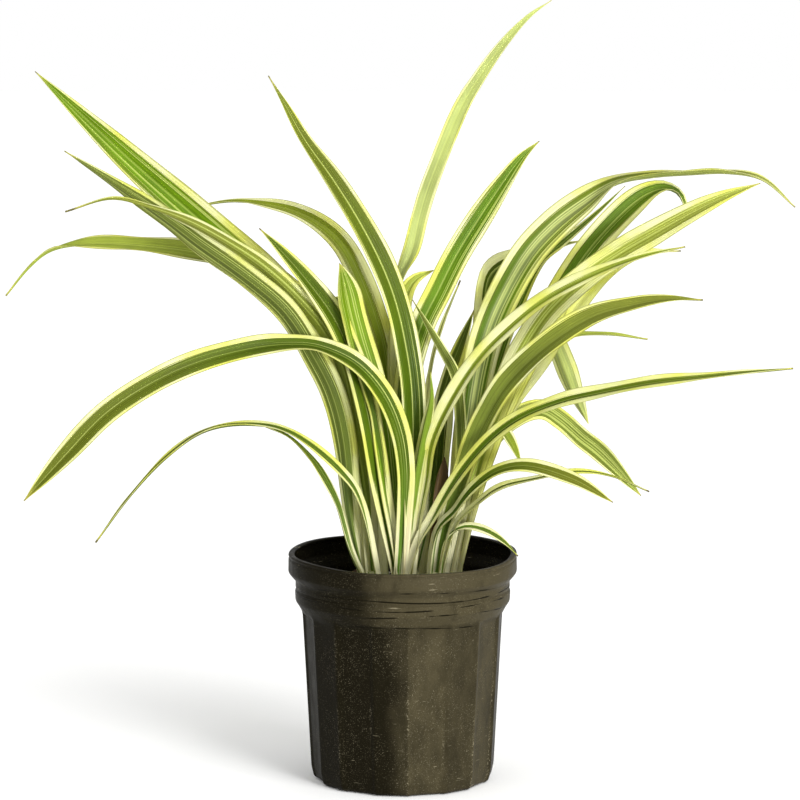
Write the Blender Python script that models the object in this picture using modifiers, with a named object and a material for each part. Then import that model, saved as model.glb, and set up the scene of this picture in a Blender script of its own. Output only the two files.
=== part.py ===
"""A variegated flax lily in a one gallon nursery pot, at its real size.

The foliage stands in six fans. Each fan is a flattened bundle of sheaths with its blades
sunk into it, and it stands in a plain hole in the potting mix. One old, dry sheath stands
between the fans. The frame is +Z up, with the origin in the middle of the pot's underside.
"""

import math
from typing import NamedTuple

import bmesh
import bpy
from mathutils import Matrix, Vector, noise

MM = 0.001
CLEARANCE = 0.3 * MM

# Pot: a thin blow-moulded shell with a rolled lip, a stacking band and a fluted wall
POT_HEIGHT = 165 * MM
LIP_RADIUS = 83 * MM
LIP_DEPTH = 15 * MM
BAND_RADIUS = 77.5 * MM
BAND_FOOT = 125 * MM
WALL_TOP_RADIUS = 72.5 * MM
WALL_FOOT_RADIUS = 66.5 * MM
WALL_FOOT = 10 * MM
SOLE_RADIUS = 52 * MM
CHANNEL_WIDTH = 8.5 * MM
CHANNEL_DEPTH = 3 * MM
WALL = 1.6 * MM
FLUTE_PAIRS = 8
FLUTE_DEPTH = 1.6 * MM
FLUTE_PHASE = math.radians(3)
STEPS_PER_PAIR = 6
DRAIN_COUNT = 8
DRAIN_RADIUS = 3 * MM
DRAIN_SIDES = 12

# Potting mix
MIX_TOP = 140 * MM
MIX_ROUGHNESS = 1.8 * MM
MIX_LUMP = 14 * MM
MIX_RINGS = 6
MIX_SEED = 4

# Fans
BUNDLE_FOOT = 112 * MM
BUNDLE_TOP = 159 * MM
BUNDLE_SIDES = 14
BUNDLE_TIP_SHARE = 0.45
BUNDLE_SHOULDER = 147 * MM
ROOT_HEIGHT = 143 * MM

# The view that the blades were traced from
VIEW_DISTANCE = 2400 * MM
VIEW_HEIGHT = 554 * MM

# Blades
BLADE_THICKNESS = 0.9 * MM
BLADE_STEP = 27 * MM
FOLD_FOOT = math.radians(40)
FOLD_BLADE = math.radians(20)
FOLD_TIP = math.radians(30)
FOLD_OPENS_BY = 0.35
CURVE_STEPS = 12
FOOT_SHARE = 0.8
WIDEST_FROM = 0.38
TAPER_POWER = 1.9
NARROWEST = 0.9 * MM


class Leaf(NamedTuple):
    """One blade of a fan.

    The root is a place in the bundle: x, y in mm and the turn of the blade there. Each point of
    the route is x, z, depth in mm and the turn. The x and z are as seen from the front, measured
    where the line of sight crosses the plane of the pot's axis; the depth is how far the point
    lies behind that plane. The turn is that of the upper face from lying flat, in degrees, and
    positive towards the viewer. The taper is the share of the length where the blade narrows.
    """

    name: str
    width: float
    taper: float
    root: tuple
    route: tuple


class Fan(NamedTuple):
    """A fan of blades: the middle and the half sizes of its bundle of sheaths, in mm."""

    name: str
    middle: tuple
    half_size: tuple
    leaves: tuple


FANS = (
    Fan("fan_left", (-22, -5), (9, 8), (
        Leaf("spur", 11, 0.35, (-27, -9, 40), (
            (-38, 165, -14, 45), (-47, 197, -20, 50), (-56, 216, -26, 50), (-67, 233, -32, 50),
            (-81, 248, -38, 50), (-98, 256, -44, 40))),
        Leaf("low_arch", 11, 0.3, (-18, -10, 50), (
            (-30, 198, -18, 50), (-46, 224, -25, 50), (-79, 250, -36, 35), (-109, 257, -46, 10),
            (-141, 252.5, -56, 5), (-168, 234.5, -66, 5), (-194.5, 207, -73, 10), (-221, 172, -80, 5))),
        Leaf("outer_sweep", 20, 0.66, (-27, -4, -60), (
            (-37, 190, -9, -60), (-42, 244, -14, -65), (-50, 278, -18, -65), (-63, 305, -22, -65),
            (-83, 337, -27, -62), (-110, 361, -32, -60), (-145, 386, -38, -58), (-166, 402, -41, -56),
            (-197, 424, -46, -56), (-240, 453, -52, -56))),
        Leaf("olive_sweep", 17, 0.4, (-22, -4, -60), (
            (-26, 203, -7, -62), (-34, 252, -11, -65), (-42, 296, -16, -65), (-56, 324, -22, -65),
            (-74, 346, -27, -62), (-95, 366, -32, -60), (-117, 382, -38, -58), (-150, 401, -46, -52),
            (-181, 413, -53, -35), (-208, 419, -57, -15), (-240, 410, -62, -10))),
        Leaf("drooping_back", 18, 0.6, (-20, 1, 60), (
            (-27, 200, 2, 60), (-33, 255, 8, 60), (-45, 305, 14, 60), (-68, 342, 20, 58),
            (-100, 367, 28, 55), (-145, 380, 38, 52), (-196, 386, 50, 48), (-228, 386, 57, 40),
            (-250, 382, 62, 5), (-266, 370, 66, 5), (-283, 350, 70, 5))),
        Leaf("long_spear", 29, 0.64, (-21, 0, 60), (
            (-24, 215, 0, 72), (-31, 258, 3, 75), (-40, 292, 5, 75), (-54, 316, 6, 75),
            (-77, 340, 8, 75), (-101, 366, 10, 75), (-138, 398, 12, 75), (-183, 437, 15, 75),
            (-220, 471, 18, 75), (-260, 509, 22, 72))),
    )),
    Fan("fan_centre", (-1, -9), (9, 8), (
        Leaf("left_blade", 19, 0.7, (-5, -10, 60), (
            (-15, 200, -13, 70), (-24, 258, -21, 75), (-31, 288, -23, 75), (-38, 309, -24, 75),
            (-50, 335, -25, 75), (-68, 360, -26, 72), (-86, 381, -27, 70), (-102, 398, -28, 65))),
        Leaf("broad_stub", 25, 0.88, (-3, -8, 70), (
            (-10, 205, -9, 75), (-16, 258, -12, 78), (-23, 285, -15, 78), (-33, 317, -19, 80),
            (-40, 345, -24, 80), (-45, 373, -30, 80))),
        Leaf("front_arch", 18, 0.86, (-4, -12, 88), (
            (0, 195, -14, 90), (1, 224, -18, 90), (-3, 252, -22, 86), (-14, 278, -28, 76),
            (-33, 300, -35, 60), (-58, 312, -43, 42), (-81, 314.5, -52, 38), (-110, 311.5, -64, 55),
            (-147, 302, -77, 65), (-180, 287, -90, 68), (-213, 265, -101, 70), (-242, 235, -108, 65),
            (-272, 202, -115, 60))),
        Leaf("tall_spear", 21, 0.58, (1, -7, 60), (
            (4, 180, -8, 70), (7, 235, -7, 75), (6, 283, -8, 78), (1, 318, -9, 78),
            (-6, 347, -11, 78), (-16, 373, -13, 75), (-31, 402, -16, 75), (-49, 431, -19, 75),
            (-70, 461, -23, 75), (-85, 488, -27, 72), (-95, 506, -30, 70))),
        Leaf("young_blade", 11, 0.6, (3, -11, -70), (
            (5, 190, -14, -75), (11, 231, -18, -78), (16, 257, -21, -80), (20, 276, -24, -80),
            (20, 295, -27, -80))),
        Leaf("right_spear", 20.5, 0.76, (1, -3, 60), (
            (0, 200, -2, 70), (1, 250, 1, 73), (4, 295, 5, 75), (13, 328, 9, 78),
            (25, 353, 13, 78), (38, 379, 16, 78), (54, 405, 19, 78), (70, 429, 22, 78),
            (84, 448, 24, 75), (97, 460, 26, 72))),
        Leaf("pale_ribbon", 14.5, 0.66, (5, -10, 60), (
            (12, 188, -13, 65), (17, 217, -17, 65), (21, 245, -21, 65), (34, 274, -26, 65),
            (52, 302, -31, 65), (73, 324, -36, 62), (100, 346, -43, 60), (134, 364, -52, 55),
            (168, 377, -60, 50), (201, 385, -66, 40))),
        Leaf("front_reach", 14, 0.58, (3, -14, 50), (
            (12, 170, -17, 50), (23, 190, -21, 55), (39, 217, -28, 55), (60, 243, -36, 52),
            (83, 261, -44, 50), (112, 273, -52, 47), (142, 280, -60, 45), (180, 287, -68, 42),
            (224, 292, -78, 38), (279, 298, -90, 20))),
    )),
    Fan("fan_back", (4, 18), (9, 8), (
        Leaf("high_arch", 19, 0.55, (0, 17, 60), (
            (-4, 215, 19, 60), (-9, 270, 21, 65), (-13, 310, 24, 68), (-21, 340, 28, 70),
            (-31, 366, 33, 72), (-42, 386, 38, 72), (-57, 400, 44, 65), (-77, 410, 51, 50),
            (-100, 415, 59, 38), (-122, 417, 67, 25), (-147, 414, 76, 20))),
        Leaf("tallest", 13.5, 0.7, (2, 15, -60), (
            (-2, 230, 17, -60), (-6, 290, 19, -50), (-6, 330, 21, -30), (0, 363, 24, 10),
            (7, 383, 26, 50), (12, 407, 29, 75), (20, 433, 33, 78), (39, 480, 42, 78),
            (53, 504, 47, 78), (69.5, 527, 52, 76), (88, 547, 57, 72), (105, 559, 62, 65))),
        Leaf("edge_on", 8, 0.5, (7, 15, 0), (
            (12, 220, 17, 5), (20, 293, 23, 5), (27, 323, 28, 5), (35, 346, 31, 5),
            (41, 361, 34, 5))),
        Leaf("shaded_blade", 21, 0.55, (9, 20, 60), (
            (21, 205, 30, 70), (25, 248, 40, 72), (27, 272, 48, 72), (32, 292, 57, 70),
            (41, 316, 70, 65), (51, 340, 84, 55))),
        Leaf("short_fold", 17, 0.82, (3, 13, 60), (
            (1, 225, 13, 60), (-1, 285, 15, 60), (-1, 325, 15, 58), (2, 348, 15, 52),
            (9, 361, 16, 54), (22, 368, 19, 58))),
        Leaf("back_left_arch", 17, 0.5, (-1, 21, 10), (
            (-10, 250, 38, 15), (-24, 312, 75, 20), (-42, 342, 115, 20), (-60, 344, 150, 15),
            (-71, 330, 182, 10))),
        Leaf("back_arch", 16, 0.5, (4, 23, 0), (
            (4, 235, 48, 0), (1, 298, 95, 5), (-6, 303, 150, 5), (-12, 262, 200, 0))),
        Leaf("back_right_arch", 15, 0.5, (8, 23, 0), (
            (16, 215, 44, 0), (30, 268, 86, 5), (46, 272, 138, 5), (60, 236, 182, 0))),
    )),
    Fan("fan_right_front", (23, -10), (8, 6.5), (
        Leaf("olive_arch", 21, 0.62, (25, -9, 60), (
            (32, 180, -11, 65), (42, 212, -15, 68), (50, 238, -20, 70), (60, 262, -26, 73),
            (76, 288, -34, 72), (102, 313, -46, 68), (134, 334, -57, 64), (165, 343, -66, 55),
            (190, 347, -74, 42), (214, 347, -80, 30))),
        Leaf("low_arch_right", 11.5, 0.78, (20, -12, 40), (
            (25, 178, -15, 45), (38, 194, -21, 45), (51, 211, -29, 50), (69, 224, -38, 55),
            (92, 227, -48, 58), (124, 217, -60, 60), (151, 201, -72, 60))),
        Leaf("thin_arch_right", 8, 0.4, (27, -8, 40), (
            (38, 183, -11, 40), (54, 200, -17, 35), (71, 212, -22, 35), (96, 218, -27, 35),
            (124, 223, -31, 30), (150, 220, -35, 30), (177, 209, -38, 30))),
        Leaf("old_sheath", 9, 0.85, (21, -6, 70), (
            (22, 177, -4, 80), (25, 203, -2, 85), (30, 234, 0, 80))),
        Leaf("rim_leaf", 8.5, 0.5, (27, -11.5, 10), (
            (30, 168, -12, 10), (35, 178, -13, 20), (46, 183, -14, 35), (60, 180, -18, 40),
            (73, 172, -22, 40), (83, 162, -25, 40))),
    )),
    Fan("fan_right", (35, 5), (8, 7), (
        Leaf("great_arch", 26, 0.55, (32, 4, 60), (
            (43, 205, 4, 65), (48, 250, 6, 70), (54, 292, 8, 75), (62, 325, 9, 77),
            (74, 353, 10, 77), (90, 380, 11, 75), (108, 399.5, 12, 72), (129, 415, 13, 52),
            (152, 429, 14, 18), (177, 434, 15, 2), (203, 436, 16, -4), (231, 437, 15, 0),
            (256, 432, 13, 30), (279, 413, 11, 55))),
        Leaf("curled_blade", 22, 0.84, (37, 3, 60), (
            (50, 205, 2, 65), (66, 258, 1, 70), (83, 295, 2, 72), (100, 326, 3, 75),
            (115, 355, 4, 75), (131, 380, 5, 75), (150, 402, 6, 72), (168, 418, 7, 62),
            (183, 425, 8, 35), (193, 424, 9, 20), (199, 417, 10, 40), (201, 407, 11, 55))),
        Leaf("pale_spear", 21, 0.76, (40, 2, 60), (
            (47, 195, -1, 65), (58, 240, -5, 68), (73, 280, -9, 70), (86, 310, -12, 72),
            (105, 339, -15, 74), (132, 364, -18, 74), (155, 380, -21, 74), (179, 394, -24, 74),
            (204, 408, -28, 72), (228, 420, -32, 70), (254, 430, -36, 65))),
        Leaf("cross_blade", 9, 0.66, (31, 2, -60), (
            (39, 205, 0, -65), (42, 240, -2, -65), (41, 272, -4, -68), (38, 293, -6, -70),
            (28, 312, -8, -70), (15, 334, -10, -70), (7, 347, -12, -70))),
        Leaf("folded_back", 20, 0.75, (31, 9, 70), (
            (40, 205, 13, 72), (50, 250, 17, 75), (56, 300, 21, 76), (58, 338, 25, 76),
            (60, 358, 28, 74), (65, 367, 33, 58), (77, 374, 41, 38), (98, 381, 54, 30),
            (126, 389, 72, 30))),
    )),
    Fan("fan_right_back", (33, 25), (8, 7), (
        Leaf("side_blade", 16, 0.7, (36, 21, 60), (
            (42, 183, 19, 65), (51, 215, 19, 66), (62, 246, 20, 68), (79, 276, 20, 70),
            (100, 305, 21, 72), (120, 337, 22, 72), (143, 364, 23, 68), (168, 379, 22, 60),
            (198, 382, 20, 40))),
        Leaf("thin_back", 9, 0.65, (32, 21, 30), (
            (50, 235, 26, 40), (70, 305, 32, 50), (84, 345, 38, 58), (98, 374, 42, 62),
            (114, 388, 46, 64), (137, 408, 51, 64), (158, 428, 57, 64))),
        Leaf("far_ribbon", 11, 0.6, (35, 28, 0), (
            (46, 205, 38, 5), (66, 262, 52, 12), (84, 298, 64, 20), (99, 314, 72, 25),
            (122, 321, 84, 25), (148, 322, 98, 25), (175, 319, 112, 20))),
        Leaf("bent_down", 19, 0.84, (30, 27, 30), (
            (43, 215, 42, 28), (64, 272, 62, 20), (86, 312, 80, 8), (98, 326, 90, -8),
            (106, 320, 96, -20), (113, 304, 101, -28), (122, 281, 108, -32), (133, 258, 114, -32))),
        Leaf("hanging_down", 16, 0.78, (38, 26, 30), (
            (47, 202, 30, 35), (62, 243, 38, 45), (81, 262, 46, 60), (98, 268, 53, 75),
            (112, 261, 60, 88), (127, 248, 70, 92), (143, 235, 80, 92), (171, 206, 96, 92))),
        Leaf("small_tip", 12, 0.8, (39, 22, 10), (
            (47, 198, 23, 15), (61, 237, 27, 30), (69, 252, 30, 50), (76, 246, 33, 62),
            (85, 229, 38, 70))),
        Leaf("back_low_arch", 14, 0.5, (32, 30, 0), (
            (44, 215, 56, 0), (58, 262, 100, 5), (70, 274, 146, 5), (76, 256, 182, 0))),
    )),
)


def new_material(name, colour, roughness):
    """A plain material of one linear colour."""
    material = bpy.data.materials.new(name)
    material.use_nodes = True
    shader = material.node_tree.nodes["Principled BSDF"]
    shader.inputs["Base Color"].default_value = (*colour, 1)
    shader.inputs["Roughness"].default_value = roughness
    shader.inputs["Metallic"].default_value = 0
    return material


def add_collection(name):
    """A collection in the scene."""
    made = bpy.data.collections.new(name)
    bpy.context.scene.collection.children.link(made)
    return made


def add_object(name, mesh, collection, material=None):
    """A mesh object in a collection."""
    made = bpy.data.objects.new(name, mesh)
    collection.objects.link(made)
    if material:
        mesh.materials.append(material)
    return made


def new_mesh(name, form):
    """A mesh from a bmesh, which is freed."""
    mesh = bpy.data.meshes.new(name)
    form.to_mesh(mesh)
    form.free()
    return mesh


def applied(thing):
    """The mesh of an object with its modifiers applied. The object is removed."""
    bpy.context.view_layer.update()
    graph = bpy.context.evaluated_depsgraph_get()
    mesh = bpy.data.meshes.new_from_object(thing.evaluated_get(graph))
    bpy.data.objects.remove(thing)
    return mesh


def combine(thing, operands, operation, solver="EXACT"):
    """The mesh of an object after a Boolean with a collection of others, which are removed."""
    for operand in operands.objects:
        operand.hide_render = True
        operand.display_type = "WIRE"
    boolean = thing.modifiers.new(operation.lower(), "BOOLEAN")
    boolean.operation = operation
    boolean.operand_type = "COLLECTION"
    boolean.collection = operands
    boolean.solver = solver
    mesh = applied(thing)
    for operand in list(operands.objects):
        bpy.data.objects.remove(operand)
    bpy.data.collections.remove(operands)
    return mesh


def smoothstep(start, end, value):
    """0 before start, 1 after end, and smooth between them."""
    share = min(1, max(0, (value - start) / (end - start)))
    return share * share * (3 - 2 * share)


def flute(angle, height):
    """How far the pot's wall stands in at an angle and a height: every other panel is recessed."""
    turn = (angle - FLUTE_PHASE) / math.tau * FLUTE_PAIRS % 1
    edge = 1 / STEPS_PER_PAIR
    recessed = smoothstep(0, edge, turn) - smoothstep(0.5, 0.5 + edge, turn)
    wall = 1 - smoothstep(BAND_FOOT - 6 * MM, BAND_FOOT, height)
    return FLUTE_DEPTH * recessed * wall


def turned(name, profile, collection):
    """Turns a profile of (radius, height) points about +Z, and presses the flutes into its wall."""
    mesh = bpy.data.meshes.new(name)
    corners = [(radius, 0, height) for radius, height in profile]
    mesh.from_pydata(corners, [(i, i + 1) for i in range(len(corners) - 1)], [])
    blank = add_object(name, mesh, collection)
    screw = blank.modifiers.new("turn", "SCREW")
    screw.steps = screw.render_steps = FLUTE_PAIRS * STEPS_PER_PAIR
    screw.use_merge_vertices = True
    screw.merge_threshold = 0.01 * MM
    fluted = applied(blank)
    fluted.transform(Matrix.Rotation(FLUTE_PHASE, 4, "Z"))
    for vert in fluted.vertices:
        radius = vert.co.xy.length
        if radius > SOLE_RADIUS + 0.8 * CHANNEL_WIDTH:
            depth = flute(math.atan2(vert.co.y, vert.co.x), vert.co.z)
            vert.co.xy *= 1 - depth / radius
    return add_object(name, fluted, collection)


def add_oval_rod(name, middle, foot, top, half_size, sides, collection, tip=0.0):
    """An upright rod with an oval outline, from foot to top, and over it a cap that tapers to tip."""
    form = bmesh.new()
    bmesh.ops.create_cone(form, cap_ends=True, segments=sides, radius1=1, radius2=1, depth=top - foot)
    bmesh.ops.scale(form, vec=(*half_size, 1), verts=form.verts)
    bmesh.ops.translate(form, vec=(*middle, 0.5 * (foot + top)), verts=form.verts)
    if tip:
        lid = max(form.faces, key=lambda face: face.calc_center_median().z)
        cap = bmesh.ops.extrude_face_region(form, geom=[lid])
        bmesh.ops.delete(form, geom=[lid], context="FACES_ONLY")
        raised = [item for item in cap["geom"] if isinstance(item, bmesh.types.BMVert)]
        to_middle = Matrix.Translation((-middle[0], -middle[1], 0))
        bmesh.ops.scale(form, vec=(BUNDLE_TIP_SHARE, BUNDLE_TIP_SHARE, 1), verts=raised, space=to_middle)
        bmesh.ops.translate(form, vec=(0, 0, tip - top), verts=raised)
    return add_object(name, new_mesh(name, form), collection)


def lip_and_wall_profile():
    """The pot's outer side, from the lip's inner edge down to the ring that it stands on."""
    return [
        (LIP_RADIUS - 4.5 * MM, POT_HEIGHT - 1 * MM),
        (LIP_RADIUS - 3 * MM, POT_HEIGHT),
        (LIP_RADIUS - 0.6 * MM, POT_HEIGHT - 0.8 * MM),
        (LIP_RADIUS, POT_HEIGHT - 3 * MM),
        (LIP_RADIUS - 0.4 * MM, POT_HEIGHT - LIP_DEPTH + 3 * MM),
        (LIP_RADIUS - 2 * MM, POT_HEIGHT - LIP_DEPTH),
        (BAND_RADIUS - 0.8 * MM, POT_HEIGHT - LIP_DEPTH - 2.5 * MM),
        (BAND_RADIUS, POT_HEIGHT - LIP_DEPTH - 9 * MM),
        (BAND_RADIUS - 0.6 * MM, BAND_FOOT + 4 * MM),
        (WALL_TOP_RADIUS + 1 * MM, BAND_FOOT),
        (WALL_TOP_RADIUS, BAND_FOOT - 6 * MM),
        (WALL_FOOT_RADIUS, WALL_FOOT),
        (WALL_FOOT_RADIUS - 1.8 * MM, 2 * MM),
    ]


def sole_profile():
    """The underside: the ring that the pot stands on, a drain channel and the flat middle."""
    return [
        (SOLE_RADIUS + CHANNEL_WIDTH + 1 * MM, 0),
        (SOLE_RADIUS + CHANNEL_WIDTH, CHANNEL_DEPTH),
        (SOLE_RADIUS + 1 * MM, CHANNEL_DEPTH),
        (SOLE_RADIUS, 0),
        (0, 0),
    ]


def make_pot(collection, material):
    """The nursery pot: a turned and fluted shell with drain holes in its channel."""
    shell = turned("shell", lip_and_wall_profile() + sole_profile(), collection)
    wall = shell.modifiers.new("wall", "SOLIDIFY")
    wall.thickness = WALL
    wall.offset = -1
    wall.use_even_offset = True
    drains = add_collection("drains")
    circle = SOLE_RADIUS + 0.5 * CHANNEL_WIDTH
    for number in range(DRAIN_COUNT):
        angle = math.tau * (number + 0.5) / DRAIN_COUNT + FLUTE_PHASE
        middle = (circle * math.cos(angle), circle * math.sin(angle))
        size = (DRAIN_RADIUS, DRAIN_RADIUS)
        add_oval_rod("drain", middle, -5 * MM, 10 * MM, size, DRAIN_SIDES, drains)
    return add_object("nursery_pot", combine(shell, drains, "DIFFERENCE"), collection, material)


def mix_profile():
    """The potting mix's outline inside the pot, from the middle of its top down to its foot."""
    gap = WALL + CLEARANCE
    rim = BAND_RADIUS - gap - 0.2 * MM
    top = [(rim * ring / MIX_RINGS, MIX_TOP) for ring in range(MIX_RINGS)]
    return top + [
        (rim, MIX_TOP),
        (rim - 0.6 * MM, BAND_FOOT + 5 * MM),
        (WALL_TOP_RADIUS - gap + 0.8 * MM, BAND_FOOT + 1 * MM),
        (WALL_TOP_RADIUS - gap - 0.7 * MM, BAND_FOOT - 6 * MM),
        (WALL_FOOT_RADIUS - gap - 0.2 * MM, WALL_FOOT),
        (WALL_FOOT_RADIUS - gap - 2 * MM, gap + CHANNEL_DEPTH),
        (SOLE_RADIUS - 0.4 * MM, gap + CHANNEL_DEPTH),
        (SOLE_RADIUS - 1.4 * MM, gap),
        (0, gap),
    ]


def make_mix(collection, material):
    """The potting mix: it fills the pot, has a lumpy top, and a plain hole for each fan."""
    mix = turned("mix", mix_profile(), collection)
    offset = Vector((MIX_SEED, 0, 0))
    for vert in mix.data.vertices:
        if vert.co.z > MIX_TOP - 1 * MM and vert.co.xy.length < BAND_RADIUS - 4 * MM:
            vert.co.z += MIX_ROUGHNESS * noise.noise(vert.co / MIX_LUMP + offset)
    holes = add_collection("holes")
    for fan in FANS:
        middle = [place * MM for place in fan.middle]
        half_size = [size * MM + CLEARANCE for size in fan.half_size]
        foot = BUNDLE_FOOT - CLEARANCE
        add_oval_rod("hole", middle, foot, BUNDLE_TOP, half_size, BUNDLE_SIDES, holes)
    return add_object("potting_mix", combine(mix, holes, "DIFFERENCE"), collection, material)


def in_space(x, z, depth):
    """The point at a depth on the line of sight through (x, z) in the plane of the pot's axis."""
    reach = 1 + depth / VIEW_DISTANCE
    return Vector((x * reach, depth, VIEW_HEIGHT + (z - VIEW_HEIGHT) * reach))


def curve_point(points, place):
    """The point of a smooth curve through points, at a place from 0 to len(points) - 1."""
    index = min(int(place), len(points) - 2)
    share = place - index
    first, last = points[index], points[index + 1]
    before = points[index - 1] if index else 2 * first - last
    after = points[index + 2] if index + 2 < len(points) else 2 * last - first
    return 0.5 * (
        2 * first
        + (last - before) * share
        + (2 * before - 5 * first + 4 * last - after) * share ** 2
        + (3 * first - before - 3 * last + after) * share ** 3
    )


def stations(leaf):
    """Evenly spaced places along a blade: the share of its length, its point and its turn."""
    x, y, turn = leaf.root
    points = [Vector((x * MM, y * MM, ROOT_HEIGHT, math.radians(turn)))]
    for x, z, depth, turn in leaf.route:
        points.append(Vector((*in_space(x * MM, z * MM, depth * MM), math.radians(turn))))
    steps = CURVE_STEPS * len(leaf.route)
    fine = [curve_point(points, step / CURVE_STEPS) for step in range(steps + 1)]
    travelled = [0.0]
    for start, end in zip(fine, fine[1:]):
        travelled.append(travelled[-1] + (end - start).xyz.length)
    count = max(6, round(travelled[-1] / BLADE_STEP))
    spots = []
    index = 0
    for number in range(count + 1):
        goal = travelled[-1] * number / count
        while index < len(travelled) - 2 and travelled[index + 1] < goal:
            index += 1
        share = (goal - travelled[index]) / (travelled[index + 1] - travelled[index])
        spot = fine[index].lerp(fine[index + 1], share)
        spots.append((number / count, spot.xyz, spot.w))
    return spots


def half_width(leaf, share):
    """Half of a blade's width at a share of its length."""
    spread = FOOT_SHARE + (1 - FOOT_SHARE) * smoothstep(0, WIDEST_FROM, share)
    past = max(0, (share - leaf.taper) / (1 - leaf.taper))
    return max(NARROWEST, 0.5 * leaf.width * MM * spread * (1 - past ** TAPER_POWER))


def fold_angle(share):
    """How far each half of a blade is folded up at a share of its length."""
    opened = smoothstep(0, FOLD_OPENS_BY, share)
    return FOLD_FOOT + (FOLD_BLADE - FOLD_FOOT) * opened + (FOLD_TIP - FOLD_BLADE) * share ** 3


def make_blade(leaf, collection):
    """One blade: V-shaped sections lofted along its midrib into a sheet, which is given thickness."""
    spots = stations(leaf)
    heading = spots[-1][1] - spots[0][1]
    sideways = Vector((heading.x, heading.y, 0)).cross(Vector((0, 0, 1))).normalized()
    to_front = -1 if heading.x < 0 else 1
    form = bmesh.new()
    sections = []
    for number, (share, middle, turn) in enumerate(spots):
        ahead = spots[min(number + 1, len(spots) - 1)][1]
        behind = spots[max(number - 1, 0)][1]
        along = (ahead - behind).normalized()
        level = (sideways - sideways.dot(along) * along).normalized()
        spin = Matrix.Rotation(to_front * turn, 3, along)
        across = spin @ level
        raised = spin @ level.cross(along)
        width, fold = half_width(leaf, share), fold_angle(share)
        rise = width * math.sin(fold) * raised
        reach = width * math.cos(fold) * across
        corners = (middle - reach + rise, middle, middle + reach + rise)
        sections.append([form.verts.new(corner) for corner in corners])
    for near, far in zip(sections, sections[1:]):
        for side in range(2):
            form.faces.new((near[side], near[side + 1], far[side + 1]))
            form.faces.new((near[side], far[side + 1], far[side]))
    blade = add_object(leaf.name, new_mesh(leaf.name, form), collection)
    sheet = blade.modifiers.new("thickness", "SOLIDIFY")
    sheet.thickness = BLADE_THICKNESS
    sheet.offset = 0
    sheet.use_even_offset = True
    return blade


def make_fan(fan, collection, material):
    """One fan: the bundle of sheaths with its blades joined to it as one solid."""
    middle = [place * MM for place in fan.middle]
    half_size = [size * MM for size in fan.half_size]
    bundle = add_oval_rod(
        fan.name, middle, BUNDLE_FOOT, BUNDLE_SHOULDER, half_size, BUNDLE_SIDES, collection, tip=BUNDLE_TOP
    )
    blades = add_collection(fan.name + "_blades")
    for leaf in fan.leaves:
        make_blade(leaf, blades)
    return add_object(fan.name, combine(bundle, blades, "UNION", "MANIFOLD"), collection, material)


def main():
    """Builds the whole plant in the scene."""
    for thing in list(bpy.data.objects):
        bpy.data.objects.remove(thing)
    plant = add_collection("potted_flax_lily")
    make_pot(plant, new_material("black plastic", (0.012, 0.011, 0.008), 0.45))
    make_mix(plant, new_material("potting mix", (0.016, 0.011, 0.008), 0.95))
    for fan in FANS:
        make_fan(fan, plant, new_material("leaf", (0.16, 0.28, 0.04), 0.45))


main()
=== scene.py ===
"""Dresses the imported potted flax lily: leaves, nursery pot, potting mix and a pale studio.

The CAD model gives the places and sizes. Every node is replaced by a finer piece of the same
form, and the camera stands where the photograph was taken from.
"""

import logging
import math
import random
from dataclasses import dataclass, field
from enum import Enum
from functools import partial
from types import SimpleNamespace
from typing import Any, Callable, Iterable

import bmesh
import bpy
from mathutils import Matrix, Vector, noise


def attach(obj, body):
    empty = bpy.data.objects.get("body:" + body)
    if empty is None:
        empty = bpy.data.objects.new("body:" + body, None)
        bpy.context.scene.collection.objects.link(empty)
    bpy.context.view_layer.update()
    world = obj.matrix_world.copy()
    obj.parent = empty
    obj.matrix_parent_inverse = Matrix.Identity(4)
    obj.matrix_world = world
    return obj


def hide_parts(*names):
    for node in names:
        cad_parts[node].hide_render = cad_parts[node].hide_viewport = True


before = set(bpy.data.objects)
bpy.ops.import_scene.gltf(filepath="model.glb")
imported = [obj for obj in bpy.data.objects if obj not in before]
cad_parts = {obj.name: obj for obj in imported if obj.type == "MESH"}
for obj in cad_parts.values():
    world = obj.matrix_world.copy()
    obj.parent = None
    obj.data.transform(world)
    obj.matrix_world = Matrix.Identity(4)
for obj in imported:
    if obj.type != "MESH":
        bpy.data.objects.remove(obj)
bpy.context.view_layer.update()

log = logging.getLogger("flax_lily")

Adder = Callable[..., Any]
Material = bpy.types.Material
Piece = bpy.types.Object
Socket = bpy.types.NodeSocket

MM = 0.001
BODY = "root"

# The view that the blades were traced from, and that the camera takes
VIEW_DISTANCE = 2400 * MM
VIEW_HEIGHT = 554 * MM
VIEW_AIM = Vector((-1.9 * MM, 0, 275.1 * MM))
PHOTO_WIDTH = 572.3 * MM
SENSOR_MM = 36.0

# Sizes that more than one class needs, as in the CAD model
ROOT_HEIGHT = 143 * MM
ROOT_SINK = 9 * MM
MIX_TOP = 140 * MM
BAND_FOOT = 125 * MM
BAND_EDGE = 6 * MM
FLUTE_PAIRS = 8
FLUTE_PHASE = math.radians(3)

# Seeds of the first fan's small random differences, and how far apart the patterns may lie
BLADE_SEED = 11
SHEATH_SEED = 41
SEED_SPAN = 50

# Kinds and settings of nodes that come up often
RANGE, MIX = "ShaderNodeMapRange", "ShaderNodeMix"
VECTOR, JOIN, SPLIT = "ShaderNodeVectorMath", "ShaderNodeCombineXYZ", "ShaderNodeSeparateXYZ"
NOISE, ATTRIBUTE = "ShaderNodeTexNoise", "ShaderNodeAttribute"
SMOOTH = {"interpolation_type": "SMOOTHSTEP"}
BLEND = {"output": 2, "data_type": "RGBA"}
TINT = {**BLEND, "blend_type": "MULTIPLY"}


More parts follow.
